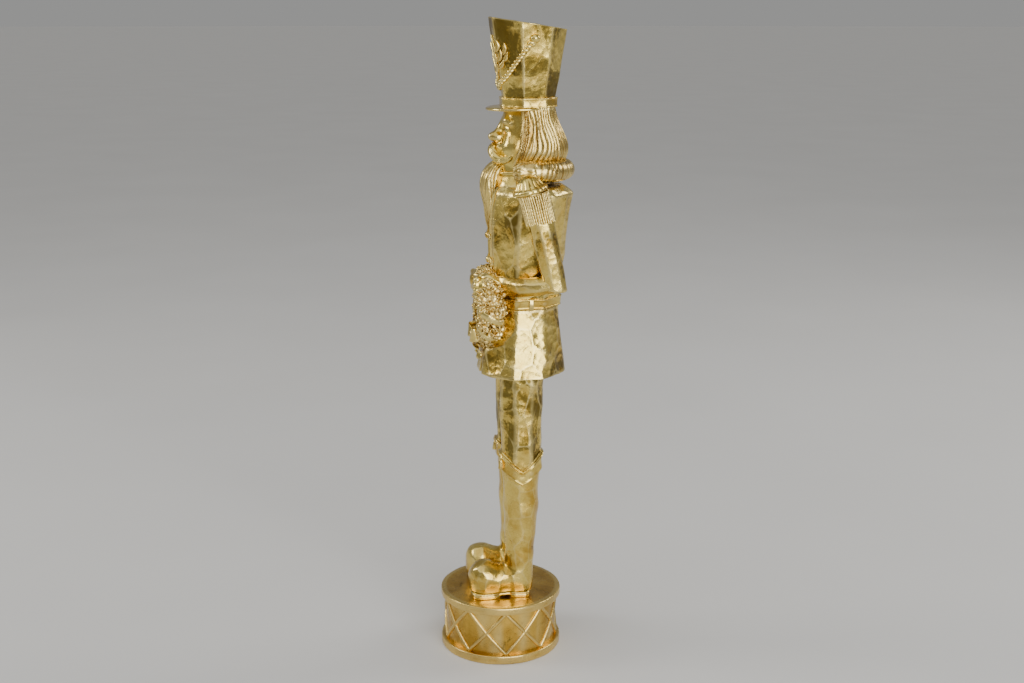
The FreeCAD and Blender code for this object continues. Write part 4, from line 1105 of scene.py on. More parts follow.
# ---------------------------------------------------------------- drum
@dataclass
class Drum:
    """The toy drum that the figure stands on.

    Attributes:
        shop: The workshop.
        lacings: Diamonds round the shell.
        around: Points round the drum.
    """

    shop: Workshop
    lacings: int = 9
    around: int = 240

    def ring(self, inner: float, outer: float, low: float, high: float, square: float,
             wobble: float, seed: int) -> Shape:
        """A turned ring with rounded edges and a hand-made wobble.

        Args:
            inner: Inner radius.
            outer: Outer radius.
            low: Height of the lower face.
            high: Height of the upper face.
            square: Power of the section's outline.
            wobble: Size of the unevenness.
            seed: Chooses the unevenness.

        Returns:
            The ring.
        """
        section = block_section((outer - inner) / 2, (high - low) / 2, 36, square)
        angle = np.linspace(0, FULL, self.around, endpoint=False)
        radius = (inner + outer) / 2 + section[:, :1]
        rows = np.stack([radius * np.cos(angle), radius * np.sin(angle),
                         np.broadcast_to((low + high) / 2 + section[:, 1:], (36, self.around))],
                        axis=-1)
        made = skin(rows, closed=True)
        out = np.maximum(np.hypot(made.points[:, 0], made.points[:, 1]) - inner, 0) / (outer - inner)
        return made.pushed(wobble * out * ripple(made.points, 26.0, seed))

    def build(self) -> None:
        """Shell, hoops, head and lacing."""
        shell, head = Box.of("drum_shell"), Box.of("drum_head")
        radius = shell.high[0]
        bore = Box.of("base_plate").high[0]
        body = self.ring(bore, radius, shell.low[2], shell.high[2], 14.0, 0.12, 11)
        self.shop.piece("drum_shell_leafed", body.hammered((16, 16, 12), 0.2, 3), DRUM_GOLD,
                        ["drum_shell"])
        for name, seed in (("drum_hoop_top", 5), ("drum_hoop_bottom", 6)):
            box = Box.of(name)
            hoop = self.ring(radius - 1.6, box.high[0] + 0.1, box.low[2], box.high[2] - 0.1, 5.5, 0.18,
                             seed)
            self.shop.piece(f"{name}_leafed", hoop, DRUM_GOLD, [name])
        self.build_head(radius, head)
        self.build_lacing(radius)

    def build_head(self, radius: float, head: Box) -> None:
        """Drum skin, a little uneven, that runs out over the hoop."""
        angle = np.linspace(0, FULL, self.around, endpoint=False)
        top = head.high[2]
        profile = [(radius - 2.0, head.low[2]), (radius - 1.8, top - 1.4), (radius + 2.6, top - 0.5),
                   (radius + 3.6, top - 0.25), (radius + 3.2, top + 0.02), (radius + 1.5, top + 0.1),
                   (radius - 1.0, top + 0.05)]
        rows = np.array([np.stack([size * np.cos(angle), size * np.sin(angle),
                                   np.full_like(angle, height)], axis=1)
                         for size, height in profile])
        made = skin(rows, cap_rings=40)
        inside = np.clip((radius - np.hypot(made.points[:, 0], made.points[:, 1])) / 8, 0, 1)
        upper = made.points[:, 2] > top - 0.05
        made.points[:, 2] -= np.where(upper, inside * (0.1 + 0.12 * ripple(made.points, 22.0, 9)), 0.0)
        self.shop.piece("drum_head_leafed", made, DRUM_GOLD, ["drum_head"])

    def build_lacing(self, radius: float) -> None:
        """One raised cord that zigzags twice round the shell and so crosses itself."""
        box = Box.of("drum_cords")
        steps = 24
        runs = np.repeat(np.arange(2 * self.lacings), steps)
        share = np.tile(np.arange(steps) / steps, 2 * self.lacings)
        height = box.low[2] + box.size[2] * np.where(runs % 2 == 0, share, 1 - share)
        angle = FULL * (runs + share) / self.lacings
        line = np.stack([radius * np.cos(angle), radius * np.sin(angle), height], axis=1)
        made = self.shop.cord("drum_lacing", [line], 1, box.high[0] - radius + 0.1, 0.0, 10.0,
                              DRUM_GOLD, True)
        self.shop.mount(made, ["drum_cords"], Slot.GOLD)


# ---------------------------------------------------------------- legs
@dataclass
class Leg:
    """One leg: boot, sole, heel, cuff with tassel, and trouser leg.

    Attributes:
        shop: The workshop.
        side: Which leg.
        cuff_ridge: How far the cuff's upper ridge stands out.
    """

    shop: Workshop
    side: Side
    cuff_ridge: float = 2.3

    def __post_init__(self) -> None:
        """Reads the frame and sets up the leg's form."""
        word = self.side.word
        self.boot = Box.of(f"boot_{word}")
        self.trouser = Box.of(f"trouser_leg_{word}")
        self.line = self.boot.middle[0]
        self.floor = self.boot.low[2]
        knee = Box.of(f"boot_cuff_{word}")
        top, low = self.trouser.high, self.trouser.low
        knee_front, knee_back = knee.low[1] + 4.8, knee.high[1] - 4.8
        self.form = Form(
            [self.floor + 30, self.floor + 82, low[2], top[2]],
            [2.4, 1.0, knee_front, low[1]], [29.0, 33.8, knee_back, top[1]],
            [27.5, 33.0, 35.5, self.trouser.size[0]], self.line, Facets(crisp=18.0))

    def build(self) -> None:
        """Every piece of the leg."""
        self.build_boot()
        self.build_sole()
        self.build_cuff()
        self.build_tassel()
        low, high = self.trouser.low[2], self.trouser.high[2]
        leg = skin(self.form.rows(low, high, 0.9, 150)).softened(2)
        leg = leg.hammered((14, 14, 30), 2.6, 30 + self.side.value)
        self.shop.piece(f"trouser_leg_{self.side.word}_carved", leg, TARNISHED,
                        [f"trouser_leg_{self.side.word}"])

    def build_boot(self) -> None:
        """Boot with a full, rounded toe, modelled in one with its shaft."""
        front, back = self.boot.low[1], self.boot.high[1]
        low, high = self.floor, self.boot.high[2]
        line = self.line
        clay = Clay((line - 20, front - 2, low - 6), (line + 20, back + 2, high + 4), 0.8)
        clay.add(clay.limb((line, 16.2, low - 8), (line, 15.9, low + 34), 13.2, 13.4), 1.0)
        clay.add(clay.limb((line, 15.9, low + 34), (line, 17.4, low + 84), 13.4, 16.3), 3.0)
        clay.add(clay.limb((line, 17.4, low + 84), (line, 17.5, high + 6), 16.3, 17.9), 3.0)
        toe = front + 15.6
        clay.add(clay.limb((line, toe, low - 8), (line, toe, low + 13.6), 15.4, 16.0), 2.0)
        clay.add(clay.limb((line, toe + 2, low - 6), (line, 12.0, low - 6), 14.6, 13.4), 4.0)
        clay.add(clay.limb((line, toe + 3, low + 9), (line, 11.0, low + 11), 14.6, 13.4), 5.0)
        clay.take(clay.limb((line - 12, toe + 11.5, low + 30), (line + 12, toe + 11.5, low + 30),
                            3.0, 3.0), 5.0)
        clay.take(clay.limb((line - 24, toe + 17, low + 22), (line - 12, toe + 14, low + 31),
                            1.0, 1.6), 4.0)
        clay.take(clay.limb((line + 24, toe + 17, low + 22), (line + 12, toe + 14, low + 31),
                            1.0, 1.6), 4.0)
        clay.body = np.maximum(clay.body, low - clay.z)
        clay.body = np.maximum(clay.body, clay.z - high)
        shape = clay.shape().hammered((13, 13, 20), 1.7, 40 + self.side.value)
        self.shop.piece(f"boot_{self.side.word}_modelled", shape, GOLD, [f"boot_{self.side.word}"])

    def build_sole(self) -> None:
        """Sole and heel with a welt line."""
        for name, square, taper in (("boot_sole", 3.0, 0.1), ("boot_heel", 4.0, -0.04)):
            box = Box.of(f"{name}_{self.side.word}")
            angle = np.linspace(0, FULL, 120, endpoint=False)
            half = box.size / 2
            cosine, sine = np.cos(angle), np.sin(angle)
            along = half[1] * np.sign(sine) * np.abs(sine) ** (2 / square)
            across = half[0] * np.sign(cosine) * np.abs(cosine) ** (2 / square)
            across *= 1 - taper * (along / half[1] * 0.5 + 0.5)
            profile = [(-0.7, 0.0), (-0.1, 0.05), (0.1, 0.2), (0.0, 0.6), (-0.5, 0.68),
                       (-0.5, 0.72), (0.2, 0.78), (0.3, 0.9), (-0.4, 1.0)]
            table = flow(np.linspace(0, 8, 26), range(9), profile)
            rows = []
            for inset, share in table:
                grow = 1 + inset / half[0]
                rows.append(np.stack([
                    box.middle[0] + across * grow, box.middle[1] + along * (1 + inset / half[1]),
                    np.full_like(angle, box.low[2] + box.size[2] * np.clip(share, 0, 1))], axis=1))
            shape = skin(np.array(rows))
            if name == "boot_sole":
                shape = shape.joined(self.shank(box))
            shape = shape.pushed(0.12 * ripple(shape.points, 9.0, 50))
            self.shop.piece(f"{name}_{self.side.word}_leafed", shape, GOLD,
                            [f"{name}_{self.side.word}"])

    def shank(self, sole: Box) -> Shape:
        """Thin bridge of the sole above the notch in front of the heel."""
        section = block_section(sole.size[0] * 0.37, 1.5, 60, 6.0)
        rows = [np.stack([self.line + section[:, 0], np.full(60, place),
                          sole.high[2] - 1.5 - rise + section[:, 1]], axis=1)
                for place, rise in zip(np.linspace(sole.high[1] - 7, sole.high[1] + 6.4, 14),
                                       np.linspace(0.6, 0.0, 14))]
        return skin(np.array(rows))

    def build_cuff(self) -> None:
        """Cuff with a peak at front and back and two ridges along its top."""
        box = Box.of(f"boot_cuff_{self.side.word}")
        middle, half = box.middle[1], box.size[1] / 2
        dip = 17.6
        ridge = self.cuff_ridge
        section = closed_loop([
            (-1.0, 0.02), (0.9, 0.0), (1.5, 0.05), (1.1, 0.2), (0.9, 0.55), (1.0, 0.72),
            (ridge * 0.85, 0.78), (1.2, 0.85), (ridge, 0.91), (ridge, 0.97), (1.1, 1.0),
            (-1.0, 0.98)], 60)

        def valley(angle: Array) -> Array:
            """0 at the side, 1 at the front and back."""
            reach = self.form.points(angle, np.full_like(angle, box.middle[2]))[..., 1]
            return np.clip(np.abs(reach - middle) / (half - 3.0), 0.0, 1.0) ** 1.08

        def high(angle: Array) -> Array:
            """Upper edge."""
            return box.high[2] + 0.2 - dip * (1 - valley(angle))

        def low(angle: Array) -> Array:
            """Lower edge."""
            return high(angle) - 14.0 - 3.0 * valley(angle)

        shape = band(self.form, section, low, high, 220)
        shape = shape.pushed(0.14 * ripple(shape.points, 8.0, 60))
        self.shop.piece(f"boot_cuff_{self.side.word}_modelled", shape, POLISHED,
                        [f"boot_cuff_{self.side.word}"])

    def build_tassel(self) -> None:
        """Small tassel by the cuff's front peak: a bead, a collar and a skirt of threads."""
        box = Box.of(f"cuff_tassel_{self.side.word}")
        top, bottom = box.high[2] + 1.0, box.low[2]
        way = -math.pi / 2 + self.side.value * math.radians(24)
        spot = self.form.points(np.array([way]), np.array([box.middle[2]]), 2.2)[0]
        angle = np.linspace(0, FULL, 48, endpoint=False)
        profile = [(0.35, 0.0), (0.95, 0.02), (0.9, 0.2), (0.62, 0.52), (0.4, 0.6), (0.62, 0.66),
                   (0.7, 0.76), (0.5, 0.88), (0.3, 0.95), (0.25, 1.0)]
        rows = []
        for size, share in flow(np.linspace(0, 9, 40), range(10), profile):
            threads = 1 + 0.14 * ridges(angle * 11 / FULL) * (share < 0.55)
            radius = max(size, 0.1) * box.size[0] / 2 * threads
            rows.append(np.stack([spot[0] + radius * np.cos(angle), spot[1] + radius * np.sin(angle),
                                  np.full_like(angle, bottom + (top - bottom) * share)], axis=1))
        self.shop.piece(f"cuff_tassel_{self.side.word}_threads", skin(np.array(rows)), POLISHED,
                        [f"cuff_tassel_{self.side.word}"])


# ---------------------------------------------------------------- coat
@dataclass
class Coat:
    """Coat body, skirt, belt, collar, front panel and fastenings."""

    shop: Workshop

    def __post_init__(self) -> None:
        """Reads the frame and sets up the forms that the trim lies on."""
        torso, skirt = Box.of("coat_torso"), Box.of("coat_skirt")
        self.torso_box, self.skirt_box = torso, skirt
        self.belt_box = Box.of("belt")
        low, high = torso.low, torso.high
        waist_front, waist_back = self.belt_box.low[1] + 2, self.belt_box.high[1] - 2
        waist = self.belt_box.size[0] - 4
        tall = torso.size[2]
        self.torso = Form(
            [low[2], low[2] + tall * 0.34, low[2] + tall * 0.69, high[2] - 6.5, high[2]],
            [waist_front, low[1] + 1, low[1], low[1] + 3.0, low[1] + 8.0],
            [waist_back, waist_back + 3.4, high[1] - 4.8, high[1], high[1] - 9.8],
            [waist, waist + 9, torso.size[0] - 2, torso.size[0], torso.size[0] - 11],
            0.0, Facets((4.0, 48.0, 91.0, 132.0, 176.0, 224.0, 270.0, 316.0), 38.0))
        self.skirt = Form(
            [skirt.low[2], skirt.high[2]], [skirt.low[1], waist_front], [skirt.high[1], waist_back],
            [skirt.size[0], waist], 0.0, Facets((6.0, 50.0, 91.0, 130.0, 174.0, 222.0, 270.0, 318.0)))

    def build(self) -> None:
        """Every piece of the coat."""
        self.build_body()
        self.build_skirt()
        self.build_belt()
        self.build_collar()
        self.build_placket()
        self.build_frogs()

    def build_body(self) -> None:
        """Coat body with rounded shoulders and knife-cut sides."""
        low, high = self.torso_box.low[2], self.torso_box.high[2]
        rows = self.torso.rows(low, high, 1.1, 300)
        middle = rows[-1].mean(axis=0)
        collar_rise = 3.0
        for share in np.linspace(0.97, 0.5, 14):
            ring = middle + (rows[-1] - middle) * share
            ring[:, 2] = high + collar_rise * (1 - share) ** 0.8
            rows = np.concatenate([rows, ring[None]])
        shape = skin(rows).softened(3).hammered((19, 19, 30), 2.1, 73)
        self.shop.piece("coat_body_carved", shape, CARVED, ["coat_torso"])

    def build_skirt(self) -> None:
        """Flared skirt, hollow under the hem, with an overlap down its front."""
        low, high = self.skirt_box.low[2], self.skirt_box.high[2]
        outer = self.skirt.rows(low + 1.2, high, 1.0, 320)
        hem = [self.skirt.rows(low, high, 1.0, 320, grow)[0] for grow in (-5.4, -3.0, -1.0, -0.2)]
        for ring, lift in zip(hem, (0.5, 0.0, 0.0, 0.35)):
            ring[:, 2] += lift
        inner = hem[0].copy()
        inner[:, 2] += 8.0
        shape = skin(np.concatenate([[inner], hem, outer])).softened(1)
        points = shape.points
        outside = (points[:, 1] < 0) & (points[:, 2] > low + 0.2)
        overlap = 1.5 / (1 + np.exp((points[:, 0] - 9.0) * 2.2)) * (points[:, 0] > -16)
        shape = shape.hammered((15, 15, 19), 2.3, 74)
        shape = shape.pushed(np.where(outside, overlap * np.clip((high - points[:, 2]) / 10, 0, 1), 0))
        self.shop.piece("coat_skirt_carved", shape, CARVED, ["coat_skirt"])

    def build_belt(self) -> None:
        """Belt with rolled edges, buckle and keepers."""
        box = self.belt_box
        section = closed_loop([
            (-1.2, 0.03), (1.6, 0.0), (2.1, 0.04), (2.0, 0.12), (1.7, 0.2), (1.8, 0.5), (1.7, 0.8),
            (2.0, 0.88), (2.1, 0.96), (1.6, 1.0), (-1.2, 0.97)], 48)
        shape = band(self.torso, section, lambda a: np.full_like(a, box.low[2]),
                     lambda a: np.full_like(a, box.high[2]), 300)
        shape = shape.hammered((16, 16, 12), 0.5, 75)
        self.shop.piece("belt_leafed", shape, GOLD, ["belt"])
        buckle = Box.of("belt_buckle")
        middle, half = buckle.middle, buckle.size / 2
        loop = np.linspace(0, FULL, 120, endpoint=False)
        square = block_section(half[0] - 1.6, half[2] - 1.6, 120, 6.0)
        path = np.stack([middle[0] + square[:, 0], np.full_like(loop, buckle.low[1] + 1.5),
                         middle[2] + square[:, 1]], axis=1)
        path = np.concatenate([path, path[:1]])
        frame_rows = tube(path, np.full(121, 1.5), np.full(121, 1.6), (0, 1, 0), 20)[:-1]
        frame_shape = skin(frame_rows, closed=True)
        tongue = skin(tube(sampled([(middle[0] - half[0] + 1.6, buckle.low[1] + 1.4, middle[2]),
                                    (middle[0] + half[0] - 1.2, buckle.low[1] + 0.6, middle[2])], 20),
                           np.full(20, 0.9), np.full(20, 0.8), (0, 1, 0), 16))
        self.shop.piece("belt_buckle_frame", frame_shape.joined(tongue), POLISHED, ["belt_buckle"])
        keepers = Box.of("belt_keepers")
        parts = []
        for side in Side:
            x = side.value * (keepers.high[0] - 2.6)
            section = block_section(keepers.size[1] / 2, 1.5, 28, 4.0)
            rows = []
            for height, swell in zip(np.linspace(keepers.low[2], keepers.high[2], 18),
                                     np.sin(np.linspace(0.15, math.pi - 0.15, 18))):
                rows.append(np.stack([x + section[:, 1] * (0.6 + 0.5 * swell) + side.value * swell,
                                      keepers.middle[1] + section[:, 0],
                                      np.full(28, height)], axis=1))
            parts.append(skin(np.array(rows)))
        self.shop.piece("belt_keeper_pair", parts[0].joined(parts[1]), POLISHED, ["belt_keepers"])

    def build_collar(self) -> None:
        """Standing collar that parts under the beard, with a rolled edge."""
        box = Box.of("collar")
        throat = self.torso_box.low[1] + 5.8
        form = Form([box.low[2] - 2, box.high[2]], [throat - 2.6, throat],
                    [box.high[1], box.high[1] - 1.0], [box.size[0] + 13, box.size[0] + 1], 0.0,
                    Facets((0.0, 60.0, 120.0, 180.0, 225.0, 270.0, 315.0), 9.0))
        section = closed_loop([(-3.0, 0.0), (0.3, 0.0), (0.2, 0.3), (-0.3, 0.7), (0.5, 0.84),
                               (0.9, 0.93), (0.3, 1.0), (-0.9, 1.0), (-1.5, 0.92), (-2.6, 0.6)], 48)

        def high(angle: Array) -> Array:
            """Upper edge, a little lower at the throat."""
            dip = np.exp(-((np.sin((angle + math.pi / 2) / 2) / 0.3) ** 2))
            return box.high[2] + 0.8 - 2.4 * dip

        shape = band(form, section, lambda a: np.full_like(a, box.low[2] - 1.5), high, 200)
        shape = shape.pushed(0.15 * ripple(shape.points, 9.0, 76))
        self.shop.piece("collar_modelled", shape, GOLD, ["collar"])

    def build_placket(self) -> None:
        """Front panel of the coat: wide at the neck, narrow at the belt, with raised edges."""
        box = Box.of("coat_placket")
        low, high = box.low[2], self.torso_box.high[2] - 1.0
        across = np.linspace(-1, 1, 61)
        rim = 1.5 * np.exp(-(((np.abs(across) - 0.93) / 0.06) ** 2))
        relief = 0.7 + rim - 1.2 * np.exp(-((across / 0.035) ** 2)) * 0.4
        relief *= np.clip((1 - np.abs(across)) / 0.05, 0.0, 1.0) ** 0.5
        rows = []
        for height in np.linspace(low, high, 96):
            share = (height - low) / (high - low)
            half = 6.5 + 9.0 * share**1.3
            front = self.torso.points(np.array([-math.pi / 2]), np.array([height]))[0, 1]
            face = np.stack([across * half, front + 0.35 - relief, np.full(61, height)], axis=1)
            back = np.stack([across[::-1] * half, np.full(61, front + 2.4), np.full(61, height)],
                            axis=1)
            rows.append(np.concatenate([face, back]))
        shape = skin(np.array(rows))
        self.shop.piece("coat_placket_panel", shape, GOLD, ["coat_placket"])

    def build_frogs(self) -> None:
        """Cord loops and knots that close the coat."""
        box = Box.of("frog_fastenings")
        parts = []
        loops = []
        for height in (box.low[2] + 5.0, box.high[2] - 5.5):
            front = self.torso.points(np.array([-math.pi / 2]), np.array([height]))[0, 1] - 1.4
            for side in Side:
                angle = np.linspace(0, FULL, 48, endpoint=False)
                across = side.value * (6.6 + 5.4 * np.cos(angle))
                loops.append(np.stack([across, front - 0.6 + 0.06 * np.abs(across) ** 1.2 * 0.4,
                                       height + 2.8 * np.sin(angle)], axis=1))
            clay = Clay((-5, front - 5, height - 5), (5, front + 4, height + 5), 0.35)
            clay.add(clay.ball((0, front - 1.2, height), (3.2, 2.6, 3.4)), 0.5)
            clay.add(clay.limb((-3.4, front, height), (3.4, front, height), 1.7, 1.7), 1.2)
            parts.append(clay.shape())
        knots = self.shop.loose("frog_knots", parts[0].joined(*parts[1:]), POLISHED)
        cords = self.shop.cord("frog_cords", loops, 2, 0.62, 0.5, 3.4, POLISHED, True)
        self.shop.mount(self.shop.merge("frog_fastening_cords", [cords, knots]),
                        ["frog_fastenings"], Slot.GOLD)


# ---------------------------------------------------------------- arms
@dataclass
class Arm:
    """One arm: sleeve, forearm, fist, epaulette and fringe.

    Attributes:
        shop: The workshop.
        side: Which arm.
        fringe_strands: Cords in the fringe.
    """

    shop: Workshop
    side: Side
    fringe_strands: int = 27

    def __post_init__(self) -> None:
        """Reads the frame and sets up the sleeve's form."""
        word = self.side.word
        self.upper = Box.of(f"upper_arm_{word}")
        self.cap = Box.of(f"epaulette_{word}")
        outer = max(abs(self.upper.low[0]), abs(self.upper.high[0]))
        sign = self.side.value
        low, high = self.upper.low, self.upper.high
        tall = high[2] - low[2]
        lines = [sign * (outer - 14.2), sign * (outer - 12.2), sign * (outer - 11.9)]
        self.form = Form([low[2], low[2] + tall * 0.6, high[2]], [36.5, 23.0, low[1]],
                         [high[1], 45.6, 38.0], [23.0, 24.0, 23.0], lines,
                         Facets((8.0, 52.0, 92.0, 134.0, 172.0, 224.0, 268.0, 318.0), 22.0))

    def build(self) -> None:
        """Every piece of the arm."""
        word = self.side.word
        sleeve = skin(self.form.rows(self.upper.low[2], self.upper.high[2], 1.0, 110))
        sleeve = sleeve.softened(3).hammered((12, 12, 26), 1.7, 82 + self.side.value)
        self.shop.piece(f"upper_arm_{word}_carved", sleeve, CARVED, [f"upper_arm_{word}"])
        self.build_forearm()
        self.build_hand()
        self.build_epaulette()
        self.build_fringe()

    def build_forearm(self) -> None:
        """Forearm from the elbow to the wrist."""
        box = Box.of(f"forearm_{self.side.word}")
        hand = Box.of(f"hand_{self.side.word}")
        sign = self.side.value
        middle = box.middle[2]
        wrist = 0.5 * (abs(hand.low[0]) + abs(hand.high[0])) - 1.5
        path = sampled([(sign * 43.5, 49.0, middle - 1.4), (sign * 40.0, 27.0, middle - 5.4),
                        (sign * 28.0, 10.0, middle - 7.8), (sign * wrist, hand.high[1] + 1, middle - 8)],
                       60)
        half = np.linspace(11.2, 5.8, 60)
        tall = np.linspace(box.size[2] / 2 - 0.6, box.size[2] / 2 + 0.6, 60)
        shape = skin(tube(path, tall, half, (0, 0, 1), 96, Facets(crisp=14.0)))
        self.shop.piece(f"forearm_{self.side.word}_carved",
                        shape.softened(2).hammered((17, 14, 14), 1.3, 85), GOLD,
                        [f"forearm_{self.side.word}"])

    def build_hand(self) -> None:
        """Fist with the fingers closed over the wreath."""
        box = Box.of(f"hand_{self.side.word}")
        sign = self.side.value
        line = 0.5 * (abs(box.low[0]) + abs(box.high[0])) - 3.0
        centre = np.array([sign * line, box.low[1] + 9.6, box.middle[2] - 6.0])
        clay = Clay(tuple(box.low - 5), tuple(box.high + 5), 0.55)
        clay.add(clay.limb((sign * (line + 1), box.high[1] + 3, centre[2] + 1.0),
                           tuple(centre + [0, 3, 1.0]), 6.8, 7.6), 1.0)
        clay.add(clay.ball(tuple(centre), (8.4, 9.2, 9.6)), 3.0)
        for number in range(4):
            height = centre[2] + 7.2 - 4.8 * number
            knuckle = (centre[0] + sign * 4.5, box.low[1] + 3.6 + 0.7 * abs(number - 1.5), height)
            tip = (centre[0] - sign * 7.0, box.low[1] + 5.4 + 0.7 * abs(number - 1.5), height - 0.8)
            clay.add(clay.limb(knuckle, tip, 3.1, 2.6), 1.0)
        clay.add(clay.limb((centre[0] - sign * 1, centre[1] - 1, centre[2] + 9.0),
                           (centre[0] - sign * 9, centre[1] - 4, centre[2] + 6.4), 3.0, 2.4), 1.2)
        self.shop.piece(f"hand_{self.side.word}_modelled", clay.shape(), POLISHED,
                        [f"hand_{self.side.word}"])

    def build_epaulette(self) -> None:
        """Scalloped cap with a thick rim and a button, tilted forward."""
        box = self.cap
        radius = box.size[0] / 2
        centre = (box.middle[0] + 0.6 * self.side.value, box.middle[1], box.low[2] + 5.4)
        angle = np.linspace(0, FULL, 192, endpoint=False)
        profile = [(0.55, -0.3), (0.86, -0.9), (0.985, 0.0), (1.0, 1.5), (0.95, 3.2), (0.84, 4.4),
                   (0.75, 6.2), (0.64, 9.0), (0.52, 11.4), (0.4, 13.0), (0.28, 14.0), (0.2, 14.8),
                   (0.08, 15.2)]
        rows = []
        for size, height in flow(np.linspace(0, 12, 72), range(13), profile):
            petals = ridges(angle * 14 / FULL, 0.7)
            flute = 0.09 * np.clip((size - 0.3) / 0.4, 0, 1) * (height > 3.4)
            lobe = 0.045 * np.clip((size - 0.8) / 0.15, 0, 1)
            reach = radius * size * (1 - flute - lobe + (flute + lobe) * petals) * 0.985
            rows.append(np.stack([centre[0] + reach * np.cos(angle), centre[1] + reach * np.sin(angle),
                                  np.full_like(angle, centre[2] + height - 1.5)], axis=1))
        shape = skin(np.array(rows))
        shape = Shape(turn(shape.points, "X", 14.0, centre), shape.faces)
        self.shop.piece(f"epaulette_{self.side.word}_modelled", shape, POLISHED,
                        [f"epaulette_{self.side.word}"])

    def build_fringe(self) -> None:
        """Twisted cords that hang from the epaulette over the sleeve."""
        draw = np.random.default_rng(90)
        top, foot = self.cap.low[2] + 2.4, Box.of(f"epaulette_fringe_{self.side.word}").low[2]
        middle = 0.0 if self.side is Side.LEFT else math.pi
        lines = []
        for number in range(self.fringe_strands):
            angle = middle + math.radians(-118 + 236 * number / (self.fringe_strands - 1))
            end = foot - 1.0 + draw.uniform(0, 2.4)
            heights = np.linspace(top + 3.4 * math.sin(angle), end + 2.5 * math.sin(angle), 24)
            share = np.linspace(0, 1, 24)
            grow = 0.9 + 0.5 * share + 0.15 * draw.normal()
            sway = 0.015 * np.sin(share * 5 + draw.uniform(0, 6))
            lines.append(self.form.points(angle + sway, heights, grow))
        made = self.shop.cord(f"fringe_{self.side.word}_cords", lines, 2, 0.95, 0.1, 6.4, STRANDED)
        self.shop.mount(made, [f"epaulette_fringe_{self.side.word}"], Slot.STRANDS)


